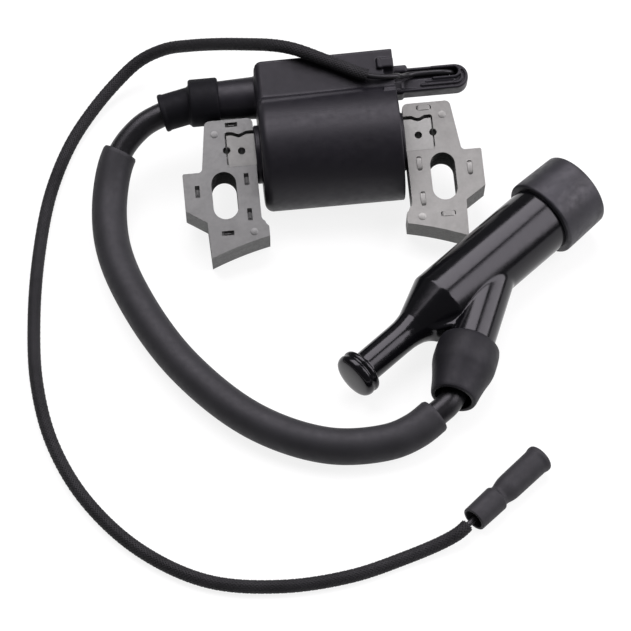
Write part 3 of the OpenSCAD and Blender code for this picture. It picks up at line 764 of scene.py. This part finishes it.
def wavy_edge(x0, x1, y, steps=24):
    xs = [x0 + (x1 - x0) * i / steps for i in range(steps + 1)]
    return [(x, y - dip(x)) for x in xs]


def leg_outline():
    """One lamination of a leg, with the notch for the centre bar cut into its inner side."""
    flywheel_y = TOE_Y - math.sqrt(FLYWHEEL_R**2 - TIP_X**2)
    start = math.degrees(math.atan2(TOE_Y - flywheel_y, TIP_X))
    end = math.degrees(math.acos(TOE_X / FLYWHEEL_R))
    slit_x = BAR_END + SLIT
    reach = math.degrees(math.asin(SLIT / 2 / HOLE_R))
    lip = BAR_TOP + WAVE_GAP
    corner = 1.6
    notch_r = 0.7
    return (
        arc(LEG_IN + corner, LEG_TOP_Y - corner, corner, 180, 90, 8)
        + arc(LEG_TOP_X - corner, LEG_TOP_Y - corner, corner, 90, 5, 8)
        + arc(EAR_ROOT_X + 1.2, EAR_TOP + 1.2, 1.2, 185, 270, 6)
        + arc(EAR_X - 0.5, EAR_TOP - 0.5, 0.5, 90, 0, 4)
        + [(EAR_X, -3.7), (36.6, -7.6)]
        + arc(0, flywheel_y, FLYWHEEL_R, start, end, 24)
        + arc(TOE_X + 1, TOE_STEP - 1, 1, 180, 115, 5)
        + arc(LEG_IN - 1.6, TOE_STEP + 2.4, 1.6, -60, 0, 6)
        + [(LEG_IN, BAR_BOTTOM), (BAR_END, BAR_BOTTOM), (BAR_END, SLIT_FOOT), (slit_x, SLIT_FOOT)]
        + arc(BAR_END + SLIT / 2, SLIT_HOLE_Y, HOLE_R, -90 + reach, 90 - reach, 12)
        + arc(slit_x - notch_r, lip - notch_r, notch_r, 0, 90, 5)
        + wavy_edge(slit_x - notch_r - 0.2, LEG_IN, lip)
    )


def bar_outline(end):
    """One lamination of the centre bar, reaching out to x = end on both sides."""
    hole_x = BAR_END + SLIT / 2
    reach = math.degrees(math.asin(SLIT / 2 / HOLE_R))
    if end > BAR_END:
        hole = arc(hole_x, SLIT_HOLE_Y, HOLE_R, 270 + reach, 90 - reach, 16)
    else:
        hole = arc(hole_x, SLIT_HOLE_Y, HOLE_R, 270 - reach, 90 + reach, 12)
    foot = [(BAR_END, BAR_BOTTOM), (BAR_END, SLIT_FOOT), (end, SLIT_FOOT)]
    right = foot + hole + wavy_edge(end, LEG_IN, BAR_TOP)
    return right + [(-x, y) for x, y in reversed(right)]


def slot_loop():
    return arc(SLOT_X, SLOT_HALF, SLOT_R, 0, 180, 20) + arc(SLOT_X, -SLOT_HALF, SLOT_R, 180, 360, 20)


def circle_loop(x, y, r, steps=24):
    return arc(x, y, r, 0, 360 - 360 / steps, steps - 1)


# Interlock marks: place in X and Y, and whether the long side runs along Y
MARKS = [(27.4, 20.9, False), (24.5, 4.3, True), (24.5, -6.2, True), (31.1, -11.2, False), (38.6, 1.8, True)]
DIMPLES = [(32.4, 18.4), (23.7, -11.4)]
DIMPLE_R = 1.1
DIMPLE_RISE = 0.2
PRESSED_SHEETS = 3
SLIT_SHEETS = 4
SHEET_GAP = 0.03
SLOT_SHADE_TONE = 0.07                      # the slots' walls are darkened: painted shade


def mark_loop(x, y, upright, long, wide, corner):
    a, b = (wide / 2, long / 2) if upright else (long / 2, wide / 2)
    return rounded([(x - a, y - b), (x + a, y - b), (x + a, y + b), (x - a, y + b)], corner, 4)


def flat_sheet(loops, thickness, bevel):
    """A filled outline with holes, extruded, its edges bevelled: points and faces about z = 0."""
    curve = bpy.data.curves.new("outline", "CURVE")
    curve.dimensions = "2D"
    curve.fill_mode = "BOTH"
    curve.extrude = thickness / 2 - bevel
    curve.bevel_depth = bevel
    curve.bevel_resolution = 1
    curve.offset = -bevel
    for loop in loops:
        line = curve.splines.new("POLY")
        line.points.add(len(loop) - 1)
        for point, (x, y) in zip(line.points, loop):
            point.co = (x, y, 0, 1)
        line.use_cyclic_u = True
    obj = bpy.data.objects.new("outline", curve)
    scene.collection.objects.link(obj)
    depsgraph = bpy.context.evaluated_depsgraph_get()
    mesh = bpy.data.meshes.new_from_object(obj.evaluated_get(depsgraph))
    verts = np.array([v.co[:] for v in mesh.vertices])
    faces = [tuple(p.vertices) for p in mesh.polygons]
    bpy.data.objects.remove(obj)
    bpy.data.curves.remove(curve)
    bpy.data.meshes.remove(mesh)
    return verts, faces


def tongue(x, y, upright, wide, profile, thick=0.4):
    """A bent strip of sheet in an interlock mark. profile holds (place along it, height) pairs."""
    verts = []
    for along, height in profile:
        for side, drop in ((-1, 0), (1, 0), (1, thick), (-1, thick)):
            across = side * wide / 2
            u, v = (across, along) if upright else (along, across)
            verts.append((x + u, y + v, height - drop))
    n = len(profile)
    faces = ring_faces(n, 4) + [(0, 1, 2, 3), tuple(4 * (n - 1) + k for k in (3, 2, 1, 0))]
    return np.array(verts, float), faces


def dome(x, y, r, height):
    """A low rounded bump, closed underneath."""
    count = 28
    steps = 6
    verts = []
    for k in range(steps + 1):
        a = math.radians(90 * k / steps)
        ring = circle_loop(x, y, r * math.cos(a) + 0.02, count)
        verts += [(px, py, height * math.sin(a)) for px, py in ring]
    ends = [tuple(range(count))[::-1], tuple(steps * count + k for k in range(count))]
    faces = ring_faces(steps + 1, count) + ends
    return np.array(verts, float), faces


def welded(obj):
    """Joins the points that touch and turns every face outwards."""
    work = bmesh.new()
    work.from_mesh(obj.data)
    bmesh.ops.remove_doubles(work, verts=work.verts, dist=1e-7)
    bmesh.ops.recalc_face_normals(work, faces=work.faces)
    work.to_mesh(obj.data)
    work.free()
    return obj


class Stack:
    """Laminations and their pressings, gathered into one mesh. side is -1 for a mirrored stack."""

    def __init__(self, side, seed):
        self.side = side
        self.rng = np.random.default_rng(seed)
        self.verts, self.faces, self.tones = [], [], []
        self.count = 0

    def put(self, sheet, z, tone, edge_tone=None, shift=(0, 0)):
        """Adds one sheet. Its flat faces get tone and its cut edges edge_tone, darker in the slot as painted
        shade.
        """
        verts, faces = sheet
        verts = verts + np.array([shift[0], shift[1], z])
        for face in faces:
            corners = verts[list(face)]
            normal = np.cross(corners[1] - corners[0], corners[2] - corners[1])
            flat = abs(normal[2]) > 0.5 * max(np.linalg.norm(normal), 1e-12)
            x, y = corners[:, 0].mean(), corners[:, 1].mean()
            in_slot = abs(x - SLOT_X) < SLOT_R + 0.2 and abs(y) < SLOT_R + SLOT_HALF + 0.2
            # painted shade on the slot walls
            edge = SLOT_SHADE_TONE if in_slot else edge_tone
            self.tones.append(tone if flat or edge_tone is None else tone * edge)
            self.faces.append(tuple(self.count + i for i in face))
        self.verts.append(verts * np.array([self.side, 1, 1]))
        self.count += len(verts)

    def sheets(self, choose, edge_tone):
        """Fills the core's thickness. choose gives the sheet for each level, counted from the top."""
        count = int(CORE_T / SHEET)
        for k in range(count):
            level = count - 1 - k
            shift = (0, 0) if k in (0, count - 1) else self.rng.uniform(-0.02, 0.02, 2)
            tone = 1.0 if level == 0 else self.rng.uniform(0.85, 1.0)
            self.put(choose(level), -CORE_T / 2 + SHEET * (k + 0.5), tone, edge_tone, shift)

    def finish(self, name, material, stands_for):
        """Makes the piece, with each face's tone as an attribute that the steel reads."""
        verts = np.vstack(self.verts)
        obj = new_piece(name, verts, self.faces, COIL, "coil", material, stands_for)
        tone = obj.data.attributes.new("tone", "FLOAT", "FACE")
        tone.data.foreach_set("value", np.array(self.tones, np.float32))
        welded(obj)
        return sharpen(obj, 15)


def add_leg(name, side, raised, edge_tone, material, node, seed):
    """A core leg. Its pressings stand out of the near face, or are dents in it."""
    stack = Stack(side, seed)
    long, wide, corner = (4.2, 1.4, 0.65) if raised else (3.5, 1.3, 0.2)
    holes = [slot_loop()]
    pressed = [mark_loop(*m, long, wide, corner) for m in MARKS]
    plain = flat_sheet([leg_outline(), *holes], SHEET - SHEET_GAP, 0.05)
    open_sheet = flat_sheet([leg_outline(), *holes, *pressed], SHEET - SHEET_GAP, 0.05)
    stack.sheets(lambda level: open_sheet if level < PRESSED_SHEETS else plain, edge_tone)
    top = CORE_T / 2
    for x, y, upright in MARKS:
        if raised:
            rising = [(-1.85, -0.2), (-1.45, 0.02), (-1.0, 0.12)]
            profile = rising + [(-along, height) for along, height in reversed(rising)]
            stack.put(tongue(x, y, upright, wide - 0.08, profile), top, 1.0, 0.85)
        else:
            # The dents' floors and ridges are darkened to tone 0.45 and 0.5: painted shade in the recesses
            profile = [(-1.7, -0.15), (-0.9, -0.95), (0.9, -0.95), (1.7, -0.15)]
            stack.put(tongue(x, y, upright, wide - 0.05, profile), top, 0.45, 0.2)
            ridge = [(-0.9, -0.6), (0.9, -0.6)]
            stack.put(tongue(x, y, upright, 0.25, ridge), top, 0.5, 0.4)
    for x, y in DIMPLES:
        # The domes are lightened to tone 1.12: a painted highlight
        stack.put(dome(x, y, DIMPLE_R, DIMPLE_RISE), top - 0.02, 1.12)
    stack.finish(name, material, [node])


def add_bar():
    """The centre bar. Its upper sheets stop short of the legs, which leaves the slits."""
    stack = Stack(1, 3)
    hole_x, hole_y = BAR_HOLE
    holes = [circle_loop(side * hole_x, hole_y, HOLE_R) for side in (-1, 1)]
    narrower = [circle_loop(side * hole_x, hole_y, HOLE_R * 0.98) for side in (-1, 1)]
    short = flat_sheet([bar_outline(BAR_END), *holes], SHEET - SHEET_GAP, 0.04)
    full = flat_sheet([bar_outline(BAR_END + SLIT - 0.02), *narrower], SHEET - SHEET_GAP, 0.04)
    stack.sheets(lambda level: short if level < SLIT_SHEETS else full, 0.35)
    stack.finish("centre_bar_laminations", STEEL_BAR, ["core_centre_bar"])


add_leg("left_leg_laminations", -1, False, 0.72, STEEL_LEFT, "left_core_leg", 1)
add_leg("right_leg_laminations", 1, True, 0.4, STEEL_RIGHT, "right_core_leg", 2)
add_bar()


# ---------------------------------------------------------------- housing

def both(a, b, k):
    """Where two shapes overlap, with the edge eased by about k."""
    return -blend_in(-a, -b, k)


def round_edge(a, b, r):
    """Where two shapes overlap, with the edge rounded to radius r."""
    return length(np.maximum(a + r, 0), np.maximum(b + r, 0)) + np.minimum(np.maximum(a, b), -r)


def housing_block(x, y, z, grow, left_r, right_r):
    """Round front and box as one extrusion along x; the left end is well rounded, the right crisp."""
    drum = length(y - AXIS_Y, z) - HOUSING_R - grow
    rise = 0.45 * (x - HOUSING_LEFT) / 40
    box = round_edge(np.maximum(y - BOX_TOP - rise - grow, 12 - y), z - BOX_FRONT - grow, 0.7)
    shape = blend_in(drum, box, 0.5)
    shape = round_edge(shape, HOUSING_LEFT - grow - x, left_r)
    shape = round_edge(shape, x - HOUSING_RIGHT - grow, right_r)
    open_back = -BACK - (1.5 if grow < 0 else 0)
    return both(shape, open_back - z, 0.4)


ARM_Y = 30.4
ARM_W = 7.2
ARM_END = 41.3
ARM_HALF_T = 2.5
RIM_Z = ARM_HALF_T + 0.05             # middle height of the raised rims on the arm


def guide_arm(x, y, z):
    """The flat arm that carries the wire, with its trough, nested rims, raised lip and eye."""
    half = ARM_W / 2
    low = ARM_Y - half
    outline = length(np.maximum(x - ARM_END + half, 0), y - ARM_Y) - half
    arm = both(outline, np.abs(z) - ARM_HALF_T, 0.8)
    rim = both(np.abs(outline + 0.5) - 0.45, np.abs(z - RIM_Z) - 0.5, 0.25)
    arm = blend_in(arm, rim, 0.3)
    lip = both(np.abs(outline + 1.75) - 0.4, np.abs(z - RIM_Z) - 0.45, 0.3)
    lip = both(lip, 27.5 - x, 0.4)
    arm = blend_in(arm, lip, 0.3)
    rib = both(length(y - low - 2.75, z - ARM_HALF_T) - 0.4, np.maximum(29.0 - x, x - EYE_X), 0.3)
    arm = blend_in(arm, rib, 0.3)
    loop = length(np.maximum(x - EYE_X, 0), y - EYE_Y + 0.2)
    collar = both(np.abs(loop - 1.6) - 0.4, np.abs(z - 2.75) - 0.55, 0.3)
    arm = blend_in(arm, both(collar, 31.0 - x, 0.4), 0.3)
    # the wire's trough, deeper at the eye
    trough_z = 1.3 - 0.7 * np.clip((x - 34) / 1.5, 0, 1)
    arm = cut_out(arm, both(loop - 1.15, trough_z - z, 0.3), 0.3)
    # the eye fits the wire, which leans back on its way through
    arm = cut_out(arm, length(x - EYE_X + 0.02 + 0.14 * np.abs(z + 0.9), y - EYE_Y) - 0.88, 0.2)
    root = block(x, y, z, (18, low - 0.4, -2.8), (HOUSING_RIGHT + 2.6, ARM_Y, 2.8), 0.5)
    arm = blend_in(arm, root, 0.4)
    pip_end = (HOUSING_RIGHT + 4.2, ARM_Y + 4.6, 3.6)
    pip = block(x, y, z, (18, ARM_Y + 2.2, -ARM_HALF_T), pip_end, 0.7)
    arm = blend_in(arm, pip, 0.4)
    return np.maximum(arm, 18.5 - x)


def housing(x, y, z):
    """The hollow housing with its bosses, bead, lead tower, guide arm, hook and passages."""
    body = housing_block(x, y, z, 0.0, 2.4, 0.35)
    boss = rod(x, y - AXIS_Y, z, -21.2, 21.2, 8.3, 0.4)
    body = blend_in(body, boss, 0.4)
    body = cut_out(body, housing_block(x, y, z, -WALL, 1.0, 0.4), 0.2)
    # crease where the box meets the round front: it drops a little towards the left end
    crease_y = 25.3 + 0.035 * x
    crease_z = np.sqrt(HOUSING_R**2 - (crease_y - AXIS_Y) ** 2) - 0.45
    bead = length(y - crease_y, z - crease_z) - 0.62 + 0.012 * np.clip(x + 4, 0, 20)
    body = blend_in(body, both(bead, np.maximum(HOUSING_LEFT + 1.5 - x, x - 10), 0.5), 1.4)
    pad = both(length(y - 25, z - 10.7) - 1.2, np.maximum(16.4 - x, x - HOUSING_RIGHT), 0.3)
    body = blend_in(body, pad, 0.4)
    tower = turned(x, y - TOWER_Y, z, [-33.5, -30, HOUSING_LEFT + 0.8], [5.6, 5.65, 6.1], 0.4)
    body = blend_in(body, tower, 0.6)
    body = blend_in(body, guide_arm(x, y, z), 0.5)
    hook = block(x, y, z, (15.6, NOTCH_Y + 1.7, 6), (HOUSING_RIGHT, 35.2, 10.5), 0.5)
    tip = rod(y - NOTCH_Y - 1.7, x - 15.8, z - 10, 0, 3.2, 0.7, 0.4)
    body = blend_in(body, blend_in(hook, tip, 0.3), 0.4)
    half = CORE_T / 2
    core = block(x, y, z, (-40, BAR_BOTTOM, -half), (40, BAR_TOP, half), 0.05)
    body = cut_out(body, core, 0.15)
    body = cut_out(body, rod(x, y - TOWER_Y, z, -60, -21.5, 3.55, 0.1), 0.3)
    notch = length(y - NOTCH_Y, np.minimum(z - 9.9, 0)) - 1.7
    body = cut_out(body, np.maximum(notch, 17 - x), 0.4)
    hole = both(length(y - TOWER_Y, z - WIRE_HOLE_Z) - 0.9, 17.0 - x, 0.2)
    return cut_out(body, hole, 0.2)


verts, faces = skin(housing, (-34.5, -4.5, -13.7), (42, 38.5, 17.5), 0.3)
new_piece(
    "housing_moulding", verts, faces, COIL, "coil", HOUSING_BLACK, ["coil_housing"],
)


# ---------------------------------------------------------------- collar

COLLAR_BEND = Euler((0, math.radians(-6), math.radians(10)), "XYZ").to_matrix().to_4x4()
COLLAR_PLACE = Matrix.Translation((-36, TOWER_Y, 0)) @ COLLAR_BEND


def collar(x, y, z):
    """A wide ring on the tower and a narrower one that leans with the lead."""
    to_local = np.array(COLLAR_PLACE.inverted())
    u, v, w = (row[0] * x + row[1] * y + row[2] * z + row[3] for row in to_local[:3])
    wide = rod(x, y - TOWER_Y, z, -38.6, -30.1, 6.8, 0.8)
    narrow = rod(u, v, w, -10.8, 2, 5.25, 0.5)
    rim = rod(u, v, w, -10.8, -9.6, 5.45, 0.4)
    shape = blend_in(wide, blend_in(narrow, rim, 0.4), 0.8)
    shape = cut_out(shape, rod(x, y - TOWER_Y, z, -33.5, -20, 5.7, 0.1), 0.2)
    return cut_out(shape, rod(u, v, w, -20, 6, 3.85, 0.1), 0.5)


verts, faces = skin(collar, (-49, 21, -8), (-29, 38, 8), 0.25)
new_piece("collar", verts, faces, COIL, "coil", COLLAR_RUBBER, ["tower_collar"])


# ---------------------------------------------------------------- plug cap

TUBE_R = 9.75
TUBE_END = 33.6
HANDLE_R = 4.4
CONE_X = -19.6
BRANCH_R = 6.4
BRANCH_END = 35.0
KNOB_R = 6.45
KNOB_FACE = -54.05
KNOB_BACK = -49.15
SEAL_START = 21.2
SEAL_END = 35.8
SEAL_BORE_R = 6.1
BOOT_START = 31.8
BOOT_END = 49.6


def fork_web(x, y, z, bx, by):
    """Small web in the fork between the handle and the branch, clear of the rubber boot."""
    # the web's open edge, slanting across the fork
    outer = (-0.66 * (x + 29.5) - (y + 5.3)) / math.hypot(1, 0.66)
    sides = np.maximum(np.maximum(outer, y + 0.5), np.maximum(x + 18, by + 4))
    sides = np.maximum(sides, bx - BOOT_START + 0.5)
    half = 3.2 + 0.12 * np.clip(x + 29, 0, 14)
    return round_edge(sides, np.abs(z) - half, 0.8)


def cap_body(x, y, z):
    """Main tube, cone, pull handle with its knob, branch for the lead, and the bores in them."""
    stations = [-51.5, -36, -33.5, -32, -30.2, CONE_X, TUBE_END]
    radii = [HANDLE_R, 4.42, 4.5, 4.7, 5.1, TUBE_R, TUBE_R]
    main = turned(x, y, z, stations, radii)
    c, s = math.cos(BRANCH_DIR), math.sin(BRANCH_DIR)
    out = x - BRANCH_X
    bx, by = out * c + y * s, y * c - out * s
    branch = rod(bx, by, z, 0, BRANCH_END, BRANCH_R)
    shape = blend_in(main, branch, 0.35)
    shape = blend_in(shape, fork_web(x, y, z, bx, by), 0.8)
    knob = round_edge(rod(x, y, z, KNOB_FACE, -44, KNOB_R, 2.2), x - KNOB_BACK, 0.8)
    face = length(x + 24, y, z) - 30.1
    knob = both(knob, face, 0.3)
    groove = length(x + 51, length(y, z) - 6.5) - 0.45
    shape = blend_in(shape, cut_out(knob, groove, 0.3), 0.8)
    shape = cut_out(shape, rod(x, y, z, 2.2, 60, 7.2, 0.2), 0.2)
    shape = cut_out(shape, rod(x, y, z, -3.2, 10, 4.0, 0.1), 0.1)
    shape = cut_out(shape, rod(bx, by, z, 5, 25, 3.4, 0.1), 0.1)
    return cut_out(shape, rod(bx, by, z, 24.7, 60, 3.65, 0.1), 0.2)


verts, faces = skin(cap_body, (-55.6, -24.5, -10.5), (34.9, 10.8, 10.5), 0.35)
new_piece(
    "cap_moulding", verts, faces, CAP, "plug_cap", CAP_BLACK, ["plug_cap_body"],
)

seal_profile = rounded(
    [(SEAL_START, TUBE_R, 0.1), (SEAL_START, 11.6, 1.0), (25, 11.5, 0), (34.4, 11.2, 0),
     (SEAL_END, 11.15, 1.6), (SEAL_END, SEAL_BORE_R, 0.8), (TUBE_END, SEAL_BORE_R, 0.1),
     (TUBE_END, TUBE_R, 0.1)],
    0.3, 6,
)
verts, faces = lathe(seal_profile)
new_piece("mouth_seal", verts, faces, CAP, "plug_cap", SEAL_RUBBER, ["cap_mouth_seal"])

boot_profile = rounded(
    [(BOOT_START, BRANCH_R, 0.1), (BOOT_START, 8.3, 0.5), (33, 8.6, 1), (34.8, 8.78, 2), (38.5, 8.8, 2),
     (40.4, 8.5, 2), (42, 8.0, 2), (44, 7.45, 2), (46, 7.0, 2), (48.8, 6.5, 1), (BOOT_END, 6.2, 0.5),
     (BOOT_END, 5.1, 0.4), (BRANCH_END, 5.6, 0.1), (BRANCH_END, BRANCH_R, 0.1)],
    0.3, 6,
)
verts, faces = lathe(boot_profile)
new_piece("lead_boot", verts, faces, BRANCH, "plug_cap", BOOT_RUBBER, ["cap_lead_boot"])


# ---------------------------------------------------------------- connector

insulator_profile = rounded(
    [(0, 2.75, 0.2), (0, 3.5, 0.4), (9.2, 3.65, 0.3), (9.7, 3.1, 0.2), (10.6, 2.98, 0.6), (13.2, 3.65, 2),
     (25.0, 3.75, 1), (26.1, 4.05, 0.5), (27, 3.95, 0.4), (27, 2.75, 0.3)],
    0.3, 6,
)
verts, faces = lathe(insulator_profile, 72)
insulator = new_piece(
    "insulator", verts, faces, CONNECTOR, "insulator", INSULATOR_BLACK,
    ["connector_insulator"],
)


# ---------------------------------------------------------------- pieces kept from the CAD model

KEPT = {
    "potting_compound": EPOXY_BLACK,
    "primary_bobbin": BOBBIN_NYLON,
    "primary_winding": COPPER,
    "secondary_bobbin": BOBBIN_NYLON,
    "secondary_winding": COPPER,
    "ignition_board": BOARD_GREEN,
    "switching_transistor": CASE_BLACK,
    "trigger_transistor": CASE_BLACK,
    "board_resistors": CERAMIC_TAN,
    "board_diode": DIODE_RED,
    "ht_terminal_pin": BRASS,
    "ht_lead_core": COPPER_CORE,
    "plug_terminal_clip": BRASS,
    "junction_contact": BRASS,
    "contact_spring": SPRING_STEEL,
    "suppressor_resistor": CERAMIC_TAN,
    "lead_screw_terminal": BRASS,
    "bullet_terminal": TINNED,
}
for name, material in KEPT.items():
    mesh = nodes[name].data
    mesh.materials.clear()
    mesh.materials.append(material)


# ---------------------------------------------------------------- floor and light

FLOOR_HALF_M = 3.0
GLOW_NEAR, GLOW_FAR = 0.85, 0.22
FADE_START_M, FADE_END_M = 0.45, 1.1


def add_floor():
    """A white table that glows evenly near the object and less far from it."""
    mesh = bpy.data.meshes.new("floor")
    square = ((-1, -1), (1, -1), (1, 1), (-1, 1))
    mesh.from_pydata([(FLOOR_HALF_M * x, FLOOR_HALF_M * y, 0) for x, y in square], [], [(0, 1, 2, 3)])
    surface = Surface("floor_white", 0.9, specular=0.0)
    greys = surface.colours(surface.noise(0.002, 2.0), (0.3, (0.17,) * 3), (0.7, (0.18,) * 3))
    surface.base(greys)
    distance = surface.nodes.new("ShaderNodeVectorMath")
    distance.operation = "LENGTH"
    surface.links.new(surface.place, distance.inputs[0])
    glow = surface.between(distance.outputs["Value"], GLOW_NEAR, GLOW_FAR, FADE_START_M, FADE_END_M)
    surface.shader.inputs["Emission Color"].default_value = (1, 1, 1, 1)
    surface.links.new(glow, surface.shader.inputs["Emission Strength"])
    mesh.materials.append(surface.material)
    floor = bpy.data.objects.new("floor", mesh)
    scene.collection.objects.link(floor)


LILAC_WHITE = (1.0, 0.97, 1.0)
WORLD_STRENGTH = 0.12


def add_light(name, place_mm, aim_mm, size_mm, watts):
    """A rectangular softbox, aimed at a point."""
    data = bpy.data.lights.new(name, "AREA")
    data.shape = "RECTANGLE"
    data.size, data.size_y = size_mm[0] * MM, size_mm[1] * MM
    data.energy = watts
    data.color = LILAC_WHITE
    light = bpy.data.objects.new(name, data)
    scene.collection.objects.link(light)
    place = Vector(place_mm) * MM
    light.location = place
    light.rotation_euler = (Vector(aim_mm) * MM - place).to_track_quat("-Z", "Y").to_euler()


add_floor()
add_light("overhead_softbox", (-120, 380, 950), (0, -20, 0), (1040, 800), 14)
add_light("right_softbox", (830, -60, 630), (0, -20, 40), (740, 960), 10.5)
world = bpy.data.worlds.new("studio")
world.use_nodes = True
background = world.node_tree.nodes["Background"]
background.inputs["Color"].default_value = (1, 1, 1, 1)
background.inputs["Strength"].default_value = WORLD_STRENGTH
scene.world = world
scene.view_settings.view_transform = "Standard"
